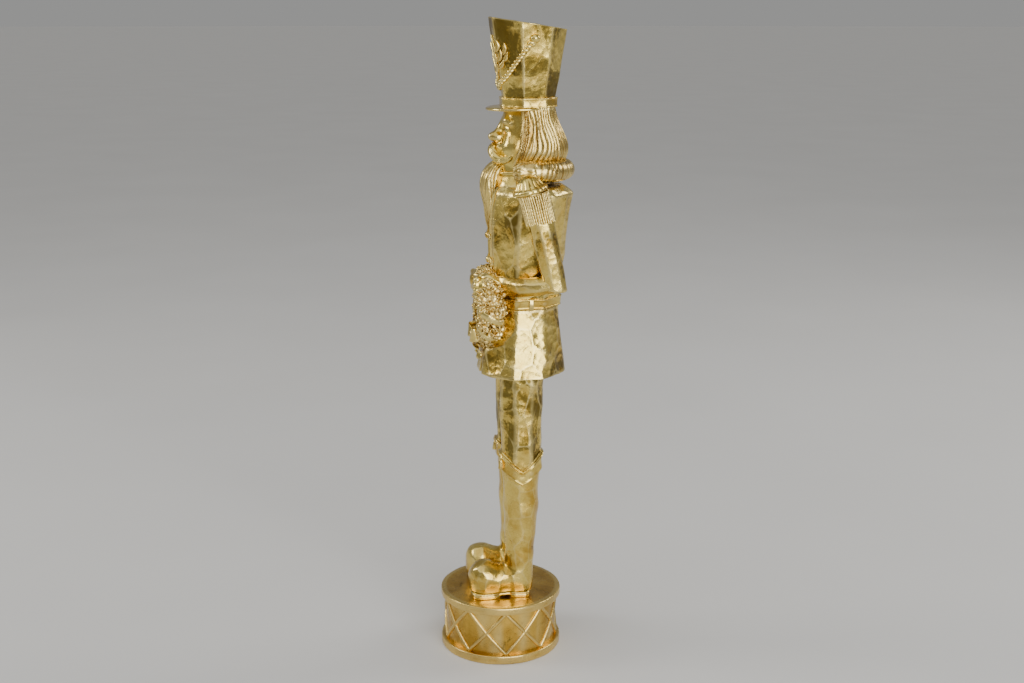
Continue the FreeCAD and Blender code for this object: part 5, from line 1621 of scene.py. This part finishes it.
# ---------------------------------------------------------------- wreath
@dataclass
class Wreath:
    """Leafy ring with ribbon and bow.

    Attributes:
        shop: The workshop.
        ribbon_places: Directions of the ribbon's wraps round the ring, in degrees.
        leaf_length: Length of a leaf.
        leaf_width: Width of a leaf.
    """

    shop: Workshop
    ribbon_places: tuple[float, ...] = (57.0, 123.0, 186.0, 220.0, 320.0, 354.0)
    leaf_length: float = 4.0
    leaf_width: float = 2.9

    def __post_init__(self) -> None:
        """Reads the frame."""
        box = Box.of("wreath_ring")
        self.centre = np.array([0.0, box.low[1] + box.size[1] / 2, box.middle[2]])
        self.tube = box.size[1] / 2
        self.ring = box.size[0] / 2 - self.tube

    def place(self, ring_angle: Array, tube_angle: Array, radius: Array | float) -> Array:
        """Points near the ring, 0 towards +X and rising; tube_angle 0 is the ring's outer side."""
        out = self.ring + radius * np.cos(tube_angle)
        return np.stack([self.centre[0] + out * np.cos(ring_angle),
                         self.centre[1] - radius * np.sin(tube_angle),
                         self.centre[2] + out * np.sin(ring_angle)], axis=-1)

    def build(self) -> None:
        """Ring, ribbon and bow."""
        self.build_ring()
        self.build_ribbon()
        self.build_bow()

    def leaf(self) -> bpy.types.Object:
        """One small cupped leaf with a midrib, its stalk at the origin."""
        rows, columns = 4, 3
        points = []
        for row in range(rows):
            share = row / (rows - 1)
            half = self.leaf_width / 2 * math.sin(math.pi * min(1.0, share * 0.92 + 0.06)) ** 0.75
            for column in range(columns):
                across = column / (columns - 1) * 2 - 1
                lift = 0.55 * (across**2 - 1) + 0.5 * math.sin(share * 2.6)
                points.append((across * half, share * self.leaf_length, lift))
        faces = [(r * columns + c, r * columns + c + 1, (r + 1) * columns + c + 1,
                  (r + 1) * columns + c) for r in range(rows - 1) for c in range(columns - 1)]
        mesh = bpy.data.meshes.new("leaf")
        mesh.from_pydata((np.array(points) * MM).tolist(), [], faces)
        leaf = bpy.data.objects.new("leaf", mesh)
        bpy.context.scene.collection.objects.link(leaf)
        thick = leaf.modifiers.new("thick", "SOLIDIFY")
        thick.thickness = 0.5 * MM
        return leaf

    def build_ring(self) -> None:
        """Core of the ring, covered in leaves."""
        ring = np.linspace(0, FULL, 150, endpoint=False)
        section = np.linspace(0, FULL, 60, endpoint=False)
        core_radius = self.tube - 2.2
        rows = self.place(ring[:, None] + 0 * section, section[None, :] + 0 * ring[:, None],
                          core_radius)
        core = skin(rows, closed=True)
        core = core.pushed(0.8 * ripple(core.points, 10.0, 101))
        leaf = self.leaf()
        made = self.shop.foliage.grow(self.shop.mesh("wreath_core", core), "wreath_leaves", {
            "Leaf": leaf, "Gap": 1.5 * MM, "Density": 700000.0, "Size": 1.0, "Seed": 7,
            "Finish": self.shop.finish(FOLIAGE)})
        bpy.data.objects.remove(leaf)
        self.shop.mount(made, ["wreath_ring"], Slot.LEAF)

    def build_ribbon(self) -> None:
        """Narrow smooth ribbon that winds over the leaves."""
        parts = []
        section = block_section(1.0, 0.75, 40, 4.0)
        around = np.linspace(0, FULL, 120, endpoint=False)
        for place in self.ribbon_places:
            middle = math.radians(place)
            half = 2.4 / self.ring
            across = section[:, 0][:, None]
            skew = 0.16 * np.sin(around)[None, :]
            sag = 0.4 * np.cos(across * math.pi / 2) + 0.2 * np.sin(around * 5)
            rows = self.place(middle + across * half + skew, around[None, :] + 0 * across,
                              self.tube - 0.4 + 0.8 * section[:, 1][:, None] + sag)
            parts.append(skin(rows, closed=True))
        self.shop.piece("wreath_ribbon_wraps", parts[0].joined(*parts[1:]), POLISHED,
                        ["wreath_ribbon"])

    def strip(self, path: Array, width_way: Array, widths: Array, thick: float) -> Shape:
        """A closed strip of ribbon along a path.

        Args:
            path: Points along the middle.
            width_way: Direction of the width at each point.
            widths: Half the width at each point.
            thick: Thickness.

        Returns:
            The strip.
        """
        section = block_section(1.0, thick / 2, 36, 5.0)
        ahead = np.gradient(path, axis=0)
        ahead /= np.linalg.norm(ahead, axis=1, keepdims=True)
        across = width_way / np.linalg.norm(width_way, axis=1, keepdims=True)
        face = np.cross(ahead, across)
        rows = (path[:, None, :] + section[None, :, :1] * (across * widths[:, None])[:, None, :]
                + section[None, :, 1:] * face[:, None, :])
        return skin(rows)

    def build_bow(self) -> None:
        """Bow of two loops, two tails and a knot."""
        box = Box.of("wreath_bow")
        knot = np.array([0.0, box.middle[1] - 0.5, box.high[2] - 9.0])
        parts = []
        share = np.linspace(0, 1, 60)
        reach = box.size[0] / 2 - 1.0
        for side in Side:
            sign = side.value
            out = np.sin(math.pi * share)
            path = knot + np.stack([sign * reach * out, -3.4 * np.sin(FULL * share) * (0.4 + out),
                                    2.4 * out + 3.0 * (share - 0.5)], axis=1)
            way = np.stack([0 * share, 0.25 * np.sin(share * 9), 1 + 0 * share], axis=1)
            parts.append(self.strip(path, way, 2.6 + 3.8 * out, 1.4))
            tail = knot + np.stack([sign * (1.5 + 9.5 * share),
                                    -0.8 + 5.5 * share**1.6 - 1.6 * np.sin(share * 7),
                                    -2.0 - 19.0 * share], axis=1)
            way = np.stack([1 + 0 * share, 0.6 * np.sin(share * 8 + sign), sign * 0.35 + 0 * share],
                           axis=1)
            parts.append(self.strip(tail, way, 2.4 + 2.4 * share, 1.4))
        clay = Clay(tuple(knot - 6), tuple(knot + 6), 0.45)
        clay.add(clay.ball(tuple(knot + [0, -1.2, 0]), (4.0, 3.6, 4.8)), 0.5)
        clay.take(clay.limb((knot[0] - 1, knot[1] - 4.6, knot[2] - 5),
                            (knot[0] - 0.6, knot[1] - 4.6, knot[2] + 5), 0.6, 0.6), 0.8)
        parts.append(clay.shape())
        self.shop.piece("wreath_bow_ribbon", parts[0].joined(*parts[1:]), POLISHED, ["wreath_bow"])


# ---------------------------------------------------------------- head
@dataclass
class Head:
    """Head with its face, moustache, beard and hair."""

    shop: Workshop

    def __post_init__(self) -> None:
        """Reads the frame."""
        self.head = Box.of("head")
        self.hair_box = Box.of("hair")
        self.jaw = self.hair_box.low[2] - 3.0

    def build(self) -> None:
        """Every piece of the head."""
        self.build_face()
        self.build_moustache()
        self.build_beard()
        self.build_hair()
        self.build_rolls()

    def build_face(self) -> None:
        """Plain doll's face: brow, lidded eyes, round nose, full cheeks and lip."""
        low, high = self.head.low, self.head.high
        jaw = self.jaw
        clay = Clay((-26, low[1] - 3, low[2] - 4), (26, high[1] + 3, high[2] + 3), 0.62)
        clay.add(clay.limb((0, 16.5, low[2] - 2), (0, 15.5, jaw + 8), 17.5, 16.5), 1.0)
        clay.add(clay.ball((0, 24.0, jaw + 30), (23.0, 22.3, 40.0)), 5.0)
        clay.add(clay.ball((0, 19.5, jaw + 14), (19.5, 17.0, 16.0)), 8.0)
        clay.add(clay.ball((0, 5.0, jaw + 13), (10.0, 10.4, 9.5)), 6.0)
        for sign in (-1, 1):
            clay.add(clay.ball((sign * 12.6, 12.0, jaw + 15.0), (9.4, 9.6, 10.5)), 7.0)
            clay.take(clay.ball((sign * 9.6, 0.2, jaw + 31.5), (7.0, 3.8, 4.6)), 5.0)
            clay.add(clay.ball((sign * 9.4, 6.6, jaw + 31.0), (4.2, 3.2, 3.0)), 1.2)
            clay.add(clay.limb((sign * 5.4, 4.8, jaw + 33.0), (sign * 9.8, 4.0, jaw + 34.2), 0.6, 0.8),
                     1.2)
            clay.add(clay.limb((sign * 9.8, 4.0, jaw + 34.2), (sign * 14.4, 6.8, jaw + 32.4), 0.8, 0.6),
                     1.2)
            clay.add(clay.limb((sign * 6.0, 5.0, jaw + 28.6), (sign * 13.6, 6.6, jaw + 28.6), 0.6, 0.5),
                     1.2)
            clay.add(clay.limb((sign * 3.6, 4.0, jaw + 37.6), (sign * 10.0, 5.4, jaw + 39.4), 1.2, 1.5),
                     4.5)
            clay.add(clay.limb((sign * 10.0, 5.4, jaw + 39.4), (sign * 16.0, 10.0, jaw + 37.0), 1.5, 0.9),
                     4.5)
            clay.add(clay.ball((sign * 4.0, -1.6, jaw + 23.6), (3.2, 4.2, 3.0)), 2.4)
            clay.take(clay.limb((sign * 6.4, 0.6, jaw + 26.8), (sign * 9.0, -0.4, jaw + 20.6), 0.4, 0.5),
                      2.2)
        clay.add(clay.limb((0, 3.6, jaw + 37.0), (0, -1.6, jaw + 27.0), 2.4, 4.4), 5.0)
        clay.add(clay.limb((0, 2.4, jaw + 23.6), (0, low[1] + 4.4, jaw + 24.6), 5.4, 3.9), 3.0)
        clay.body = np.maximum(clay.body, clay.z - high[2])
        clay.body = np.maximum(clay.body, low[2] - clay.z)
        self.shop.piece("head_modelled", clay.shape(), POLISHED, ["head"])

    def strands(self, rows: Array, count: float, twist: float, depth: float, seed: int,
                cap_rings: int = 6) -> Shape:
        """A skin with strands that run along its rows.

        Args:
            rows: Rows for skin().
            count: Strands round it.
            twist: Turns that the strands make along it.
            depth: Depth of the valleys.
            seed: Chooses the unevenness.
            cap_rings: Rings in each cap.

        Returns:
            The stranded shape.
        """
        base = skin(rows, cap_rings)
        length, around = len(rows) + 2 * cap_rings, rows.shape[1]
        along, angle = np.meshgrid(np.linspace(0, 1, length), np.arange(around) / around,
                                   indexing="ij")
        sway = 0.42 * np.sin(FULL * (along * 0.9 + angle * 3) + seed)
        sway += 0.16 * np.sin(FULL * (along * 1.7 - angle * 7) + 2 * seed)
        phase = angle * count + twist * along + sway
        relief = ridges(phase, 0.7) * (0.85 + 0.3 * np.sin(np.floor(phase) * 2.4))
        relief += 0.28 * ridges(phase * 3 + 0.3 + sway, 0.9)
        amount = depth * (relief.ravel() - 0.8)
        return base.pushed(np.concatenate([amount, [0.0, 0.0]]))

    def build_moustache(self) -> None:
        """Two horns that leave the lip, hang over the jaw and curl up on the cheek."""
        jaw = self.jaw
        parts = []
        for sign in (-1, 1):
            path = sampled([
                (sign * 0.8, -4.4, jaw + 18.2), (sign * 3.6, -6.0, jaw + 13.2),
                (sign * 8.4, -4.2, jaw + 7.2), (sign * 13.6, 1.0, jaw + 4.4),
                (sign * 18.4, 7.2, jaw + 6.6), (sign * 21.0, 11.6, jaw + 12.0)], 90)
            share = np.linspace(0, 1, 90)
            size = flow(share, [0, 0.12, 0.35, 0.6, 0.82, 1.0], [2.6, 4.2, 4.5, 3.7, 2.5, 0.9])
            rows = tube(path, size, size * 0.95, (0, -1, 0.2), 72)
            parts.append(self.strands(rows, 6, 0.7 * sign, 0.45, 3))
        self.shop.piece("moustache_modelled", parts[0].joined(parts[1]), POLISHED, ["moustache"],
                        Slot.STRANDS)

    def build_beard(self) -> None:
        """Long wavy beard that swells over the chest and ends in a point."""
        box = Box.of("beard")
        top, foot, front = box.high[2], box.low[2], box.low[1]
        drop = np.linspace(0, 1, 150)
        knots = [0, 0.07, 0.13, 0.2, 0.3, 0.48, 0.74, 1.0]
        middle = flow(drop, knots, [23.0, 18.0, 14.4, 11.6, 9.8, 9.4, 9.6, 9.0])
        widths = flow(drop, knots, [7.0, 9.5, 12.0, 14.0, 14.8, 13.5, 9.0, 1.0])
        depths = flow(drop, knots, [3.6, 6.4, 8.0, 8.8, 8.8, 7.4, 4.6, 0.9])
        path = np.stack([1.0 * np.sin(drop * 13) * drop, front + middle + 0.6 * np.sin(drop * 14) * drop,
                         top + 2.0 + (foot - 1.0 - top) * drop], axis=1)
        rows = tube(path, widths, depths, (1, 0, 0), 150)
        shape = self.strands(rows, 12, 1.6, 1.15, 5)
        self.shop.piece("beard_modelled", shape, STRANDED, ["beard"], Slot.STRANDS)

    def build_hair(self) -> None:
        """Long straight hair, parted from the face by an upright edge and flared out behind."""
        box = self.hair_box
        low, high = box.low, box.high
        tall = high[2] - low[2]
        heights = np.linspace(low[2] - 1.5, high[2], 64)
        knots = low[2] + tall * np.array([-0.05, 0.05, 0.18, 0.32, 0.5, 0.75, 1.0])
        back = flow(heights, knots, high[1] - np.array([5.4, 2.2, 0.4, 0.6, 3.8, 9.6, 12.8]))
        front = flow(heights, knots, low[1] - np.array([13.0, 12.0, 10.0, 8.4, 7.2, 6.4, 6.4]))
        half = flow(heights, knots, box.size[0] / 2 - np.array([4.4, 2.2, 0.2, 0.4, 1.6, 3.6, 4.6]))
        angle = np.linspace(0, FULL, 440, endpoint=False)
        cosine, sine = np.cos(angle), np.sin(angle)
        across = np.sign(cosine) * np.abs(cosine) ** np.where(sine < 0, 0.30, 0.86)
        along = np.where(sine < 0, -np.abs(sine) ** 0.5, np.abs(sine) ** 0.92)
        middle = front + 10.0
        rows = np.stack([
            half[:, None] * across,
            middle[:, None] + np.where(along < 0, 10.0, (back - middle)[:, None]) * along,
            np.broadcast_to(heights[:, None], (64, 440))], axis=-1)
        shape = self.strands(rows, 50, 0.6, 1.05, 8)
        self.shop.piece("hair_modelled", shape, STRANDED, ["hair"], Slot.STRANDS)

    def build_rolls(self) -> None:
        """Rolled ends of the hair, with a curl in front of each shoulder."""
        box = Box.of("hair_roll")
        radius = box.size[2] / 2
        middle = box.middle[2]
        ring = box.high[0] - radius
        line = box.low[1]
        angle = np.linspace(-0.02, math.pi + 0.02, 150)
        path = np.stack([ring * np.cos(angle), line + ring * np.sin(angle) * 0.985,
                         np.full(150, middle)], axis=1)
        swell = radius * (0.94 + 0.05 * np.sin(angle * 3) ** 2)
        rows = tube(path, swell, swell, (0, 0, 1), 90)
        roll = skin(rows)
        along = np.repeat(np.linspace(0, 1, 162), 90)
        turned = np.tile(np.arange(90) / 90, 162)
        phase = along * 22 + 2.4 * turned + 0.35 * np.sin(FULL * (along * 5 + turned))
        relief = ridges(phase, 0.7) + 0.3 * ridges(phase * 3, 0.9)
        amount = np.concatenate([0.6 * (relief - 0.8), [0.0, 0.0]])
        self.shop.piece("hair_roll_modelled", roll.pushed(amount), STRANDED, ["hair_roll"],
                        Slot.STRANDS)
        for side in Side:
            curl = Box.of(f"side_curl_{side.word}")
            x = side.value * ring
            path = sampled([(x, curl.high[1] + 1.0, middle), (x, curl.middle[1], middle + 0.2),
                            (x - side.value * 0.8, curl.low[1] + 1.4, middle - 0.2)], 60)
            share = np.linspace(0, 1, 60)
            size = radius * flow(share, [0, 0.08, 0.5, 0.86, 1.0], [0.8, 0.98, 1.0, 0.97, 0.72])
            shape = self.strands(tube(path, size, size, (0, 0, 1), 90), 9, 1.6 * side.value, 0.8,
                                 10, 16)
            gap = shape.points - path[-1]
            reach = np.hypot(gap[:, 0], gap[:, 2])
            spiral = ridges(reach / 3.0 + np.arctan2(gap[:, 2], gap[:, 0]) / FULL, 0.7)
            face = np.clip((path[-1, 1] + 1.0 - shape.points[:, 1]) / 1.0, 0, 1)
            shape.points[:, 1] -= face * (1.1 * spiral + 1.2 * (1 - reach / radius))
            self.shop.piece(f"side_curl_{side.word}_modelled", shape, STRANDED,
                            [f"side_curl_{side.word}"], Slot.STRANDS)


# ---------------------------------------------------------------- hat
@dataclass
class Hat:
    """Tall flared hat with band, visor, rope and leaf emblem.

    Attributes:
        shop: The workshop.
        rim: Width of the lip round the sunk top.
    """

    shop: Workshop
    rim: float = 2.2

    def __post_init__(self) -> None:
        """Reads the frame and sets up the crown's form."""
        self.crown = Box.of("hat_crown")
        self.band_box = Box.of("hat_band")
        low, high = self.crown.low, self.crown.high
        self.foot = self.band_box.high[2]
        self.middle = (low[1] + high[1]) / 2
        self.wide = self.crown.size[0]
        self.girth = 0.43 * self.wide + 0.43 * self.band_box.size[0] * 0.35
        self.narrow = self.band_box.size[0] - 3.2
        self.level = low[2] + 73.5
        self.slope = math.tan(math.radians(8.6))
        rise = self.level + 6 - self.foot
        step = (self.wide + 0.8 - self.narrow) / 2 * 30 / rise
        self.form = Form([low[2], self.foot, self.foot + 30, self.level + 6],
                         [self.middle - self.narrow / 2, self.middle - self.narrow / 2,
                          self.middle - self.narrow / 2 - step, self.middle - self.wide / 2 - 0.4],
                         [self.middle + self.narrow / 2, self.middle + self.narrow / 2,
                          self.middle + self.narrow / 2 + step, self.middle + self.wide / 2 + 0.4],
                         [self.narrow, self.narrow, self.narrow + 2 * step, self.wide + 0.8], 0.0,
                         Facets((10.0, 52.0, 90.0, 128.0, 170.0, 221.0, 270.0, 319.0), 70.0))

    def build(self) -> None:
        """Every piece of the hat."""
        self.build_crown()
        self.build_band()
        self.build_visor()
        self.build_rope()
        self.build_emblem()

    def top_height(self, angle: Array) -> Array:
        """Height of the sloping top edge by direction."""
        reach = self.form.points(angle, np.full_like(angle, self.level))[..., 1] - self.middle
        return self.level - self.slope * reach

    def build_crown(self) -> None:
        """Crown with flat sides and a sunk, sloping top."""
        angle = np.linspace(0, FULL, 320, endpoint=False)
        top = self.top_height(angle)
        low = self.crown.low[2]
        rows = [self.form.points(angle, low + (top - low) * share)
                for share in np.linspace(0, 0.985, 74)]
        for out, drop in ((0.0, 0.5), (-0.3, 0.1), (-0.9, 0.0), (-self.rim, 0.1),
                          (-self.rim - 0.5, 0.6), (-self.rim - 0.8, 1.8), (-self.rim - 1.6, 2.1)):
            ring = self.form.points(angle, top, out)
            ring[:, 2] = top - drop
            rows.append(ring)
        shape = skin(np.array(rows), cap_rings=16)
        shape = shape.hammered((18, 18, 30), 1.0, 121)
        self.shop.piece("hat_crown_carved", shape, TARNISHED, ["hat_crown"])

    def build_band(self) -> None:
        """Band round the foot of the crown."""
        box = self.band_box
        section = closed_loop([(-1.0, 0.02), (1.6, 0.0), (2.1, 0.08), (1.8, 0.2), (1.7, 0.5),
                               (1.8, 0.8), (2.1, 0.92), (1.5, 1.0), (-1.0, 0.98)], 40)
        shape = band(self.form, section, lambda a: np.full_like(a, box.low[2]),
                     lambda a: np.full_like(a, box.high[2]), 260)
        shape = shape.pushed(0.15 * ripple(shape.points, 9.0, 122))
        self.shop.piece("hat_band_leafed", shape, GOLD, ["hat_band"])

    def build_visor(self) -> None:
        """Thin crescent visor that leans down a little at the front."""
        box = Box.of("hat_visor")
        centre = self.middle
        angle = np.radians(np.linspace(-196, 16, 150))
        share = np.linspace(0, 1, 150)
        swell = np.sin(math.pi * share) ** 0.8
        inner = self.narrow / 2 - 1.5
        reach = 4.0 + (centre - box.low[1] - self.narrow / 2 - 2.0) * swell
        section = block_section(1.0, 1.0, 36, 3.2)
        rows = []
        for way, out, size in zip(angle, reach, swell):
            direction = np.array([math.cos(way), math.sin(way), 0.0])
            across = (section[:, 0] + 1) / 2
            thick = 0.9 + 1.2 * (1 - 0.35 * across) * (0.3 + 0.7 * size)
            droop = -1.2 * size * across**1.5
            position = np.array([0, centre, box.middle[2] + 0.8]) + direction * inner
            rows.append(position + direction * (across * out)[:, None]
                        + np.array([0, 0, 1.0]) * (droop + section[:, 1] * thick)[:, None])
        self.shop.piece("hat_visor_modelled", skin(np.array(rows)), POLISHED, ["hat_visor"])

    def rope_line(self) -> Array:
        """Line of the rope: from the knob on one side, down to the front and up again."""
        knob = Box.of("hat_cord_knobs")
        low = Box.of("hat_cord").low[2] + 2.0
        high = knob.middle[2]
        share = np.linspace(-1, 1, 160)
        start = math.asin(min(1.0, (knob.middle[1] - self.middle) / (self.wide / 2)))
        angle = -math.pi / 2 + share * (math.pi / 2 + start)
        height = low + (high - low) * (0.16 * share**2 + 0.84 * np.abs(share) ** 1.55)
        return self.form.points(angle, height, 0.8)

    def build_rope(self) -> None:
        """Twisted rope and its knobs."""
        line = self.rope_line()
        made = self.shop.cord("hat_rope", [line], 2, 1.6, 1.25, 8.4, POLISHED)
        self.shop.mount(made, ["hat_cord"], Slot.GOLD)
        parts = []
        for end in (line[0], line[-1]):
            clay = Clay(tuple(end - 8), tuple(end + 8), 0.4)
            clay.add(clay.ball(tuple(end), (4.4, 4.6, 4.1)), 0.5)
            out = math.copysign(1.0, end[0])
            clay.add(clay.ball((end[0] + out * 2.2, end[1], end[2]), (2.2, 2.4, 2.2)), 0.6)
            clay.add(clay.limb((end[0], end[1] - 0.5, end[2] - 2), (end[0], end[1] - 1.6, end[2] - 5),
                               2.4, 2.2), 1.0)
            parts.append(clay.shape())
        self.shop.piece("hat_rope_knobs", parts[0].joined(parts[1]), POLISHED, ["hat_cord_knobs"])

    def emblem_leaf(self, root: tuple[float, float], heading: float, length: float,
                    width: float) -> Shape:
        """One raised leaf on the crown's front.

        Args:
            root: Across and height of its stalk.
            heading: Degrees from straight up, positive towards +X.
            length: Its length.
            width: Its width.

        Returns:
            The leaf.
        """
        way = np.array([math.sin(math.radians(heading)), math.cos(math.radians(heading))])
        over = np.array([way[1], -way[0]])
        rows = []
        for share in np.linspace(0.02, 0.98, 26):
            half = width / 2 * math.sin(math.pi * share**0.8) ** 0.8
            bow = width * 0.25 * math.sin(math.pi * share) * math.copysign(1.0, heading)
            section = block_section(1.0, 1.0, 28, 2.2)
            spot = np.array(root) + way * (share * length) + over * bow
            across = spot[0] + section[:, 0] * half * over[0]
            height = spot[1] + section[:, 0] * half * over[1]
            rib = 0.55 * np.exp(-((section[:, 0] / 0.18) ** 2)) * (section[:, 1] > 0)
            lift = 0.5 + (1.2 + 0.6 * math.sin(math.pi * share)) * section[:, 1] - rib
            rows.append(self.form.points(-math.pi / 2 + across / self.girth, height, lift))
        return skin(np.array(rows), cap_rings=2)

    def build_emblem(self) -> None:
        """Plume of leaves on the front of the crown, with beads below it."""
        box = Box.of("hat_emblem")
        low, high = box.low[2], box.high[2]
        stem = high - low
        parts = [self.emblem_leaf((0.0, low + 0.45 * stem), 0.1, 0.56 * stem, 7.0)]
        for sign in (-1, 1):
            for out, root, heading, length in (
                    (0.8, 0.02, 40, 12.0), (0.8, 0.16, 30, 13.0), (0.8, 0.38, 24, 14.0),
                    (7.0, 0.14, 50, 13.0), (9.0, 0.28, 28, 14.0), (16.0, 0.26, 52, 12.0),
                    (17.0, 0.40, 26, 13.0), (24.0, 0.42, 40, 11.0), (25.0, 0.55, 14, 12.0),
                    (9.0, 0.55, 20, 12.0), (17.0, 0.62, 12, 11.0)):
                parts.append(self.emblem_leaf((sign * out, low + root * stem), sign * heading,
                                              length, 5.0))
        clay = Clay((-5, box.low[1] - 2, low - 12), (5, self.middle, low + 8), 0.4)
        for number, height in enumerate((low + 1.5, low - 3.0, low - 7.0)):
            front = self.form.points(np.array([-math.pi / 2]), np.array([height]))[0, 1]
            clay.add(clay.ball((0, front - 0.6, height), 2.5 - 0.25 * number), 0.4)
        parts.append(clay.shape())
        self.shop.piece("hat_emblem_leaves", parts[0].joined(*parts[1:]), POLISHED, ["hat_emblem"])


# ---------------------------------------------------------------- studio
@dataclass
class Studio:
    """Pale floor, soft light and the camera.

    Attributes:
        azimuth: Direction of the camera round the figure, 0 in front and 90 at its left side.
        distance: From the figure's axis to the camera, in metres.
        height: Height of the camera, in metres.
        pitch: Degrees that it looks down.
        yaw: Degrees that it is turned to its right.
        lens: Focal length.
    """

    azimuth: float = 84.5
    distance: float = 1.228
    height: float = 0.6054
    pitch: float = 13.81
    yaw: float = 0.53
    lens: float = 47.17

    def build(self) -> None:
        """Floor, lights, world and camera."""
        self.build_camera()
        self.build_floor()
        world = bpy.data.worlds.new("studio")
        world.use_nodes = True
        background = world.node_tree.nodes["Background"].inputs
        background["Color"].default_value = (0.62, 0.62, 0.61, 1)
        background["Strength"].default_value = 0.5
        bpy.context.scene.world = world
        self.add_light("window", (2.9, 0.75, 1.2), 95.0, 2.3, (0.98, 0.99, 1.0))
        self.add_light("front", (-0.3, -1.9, 1.2), 14.0, 0.7, (1.0, 0.98, 0.95))
        self.add_light("back", (-0.5, 1.8, 1.5), 15.0, 0.9, (1.0, 0.98, 0.95))
        sun = bpy.data.lights.new("sky", "SUN")
        sun.energy, sun.angle = 0.75, 1.2
        lamp = bpy.data.objects.new("sky", sun)
        lamp.rotation_euler = (math.radians(20), math.radians(24), 0.0)
        bpy.context.scene.collection.objects.link(lamp)

    def build_floor(self) -> None:
        """Plain pale floor as far as one can see."""
        angle = np.linspace(0, FULL, 96, endpoint=False)
        mesh = bpy.data.meshes.new("studio_floor")
        rim = np.stack([60 * np.cos(angle), 60 * np.sin(angle), 0 * angle], axis=1)
        mesh.from_pydata(rim.tolist(), [], [list(range(96))])
        floor = bpy.data.objects.new("studio_floor", mesh)
        bpy.context.scene.collection.objects.link(floor)
        paint = Paint("studio_floor")
        cloud = paint.noise(3.0, 3.0, 0.5)
        paint.links.new(paint.blend(cloud, (0.60, 0.59, 0.57, 1), (0.66, 0.65, 0.63, 1)),
                        paint.surface.inputs["Base Color"])
        paint.surface.inputs["Roughness"].default_value = 0.7
        mesh.materials.append(paint.material)

    def add_light(self, name: str, place: Point, power: float, size: float,
                  colour: tuple[float, float, float]) -> None:
        """A square soft light that points at the figure's middle.

        Args:
            name: The light's name.
            place: Where it hangs, in metres.
            power: Power in watts.
            size: Length of its side in metres.
            colour: Colour of the light.
        """
        data = bpy.data.lights.new(name, "AREA")
        data.energy, data.size, data.color = power, size, colour
        lamp = bpy.data.objects.new(name, data)
        lamp.location = place
        lamp.rotation_euler = (Vector((0, 0, 0.3)) - Vector(place)).to_track_quat(
            "-Z", "Y").to_euler()
        bpy.context.scene.collection.objects.link(lamp)

    def build_camera(self) -> None:
        """Camera at the figure's left side, a little in front and above."""
        way = math.radians(self.azimuth)
        yaw, pitch = math.radians(self.yaw), math.radians(self.pitch)
        back = Vector((math.sin(way), -math.cos(way), 0.0))
        right = Vector((math.cos(way), math.sin(way), 0.0))
        level = -back * math.cos(yaw) + right * math.sin(yaw)
        across = right * math.cos(yaw) + back * math.sin(yaw)
        ahead = level * math.cos(pitch) - Vector((0, 0, 1)) * math.sin(pitch)
        upward = across.cross(ahead)
        data = bpy.data.cameras.new("camera")
        data.lens, data.sensor_width = self.lens, 36.0
        camera = bpy.data.objects.new("camera", data)
        camera.matrix_world = Matrix.Translation(
            back * self.distance + Vector((0, 0, self.height))
        ) @ Matrix((across, upward, -ahead)).transposed().to_4x4()
        bpy.context.scene.collection.objects.link(camera)
        bpy.context.scene.camera = camera


def dress_hidden_nodes(shop: Workshop, nodes: dict[str, bpy.types.Object]) -> None:
    """Finishes on the frame's own pieces that stay as they are: rods, dowels, plate and pad."""
    for name, finish in (("leg_rod_left", STEEL), ("leg_rod_right", STEEL), ("neck_dowel", STEEL),
                         ("hat_dowel", STEEL), ("base_plate", BARE_RESIN), ("base_pad", FELT)):
        data = nodes[name].data
        data.materials.clear()
        data.materials.append(shop.finish(finish))


def main() -> None:
    """Builds the figure in order, from the drum up."""
    logging.basicConfig(level=logging.INFO, format="%(name)s %(message)s")
    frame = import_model()
    shop = Workshop()
    Studio().build()
    Drum(shop).build()
    for side in Side:
        Leg(shop, side).build()
    Coat(shop).build()
    for side in Side:
        Arm(shop, side).build()
    Wreath(shop).build()
    Head(shop).build()
    Hat(shop).build()
    dress_hidden_nodes(shop, frame["nodes"])
    LOG.info("%d triangles in all", shop.triangles)


if __name__ == "__main__":
    main()
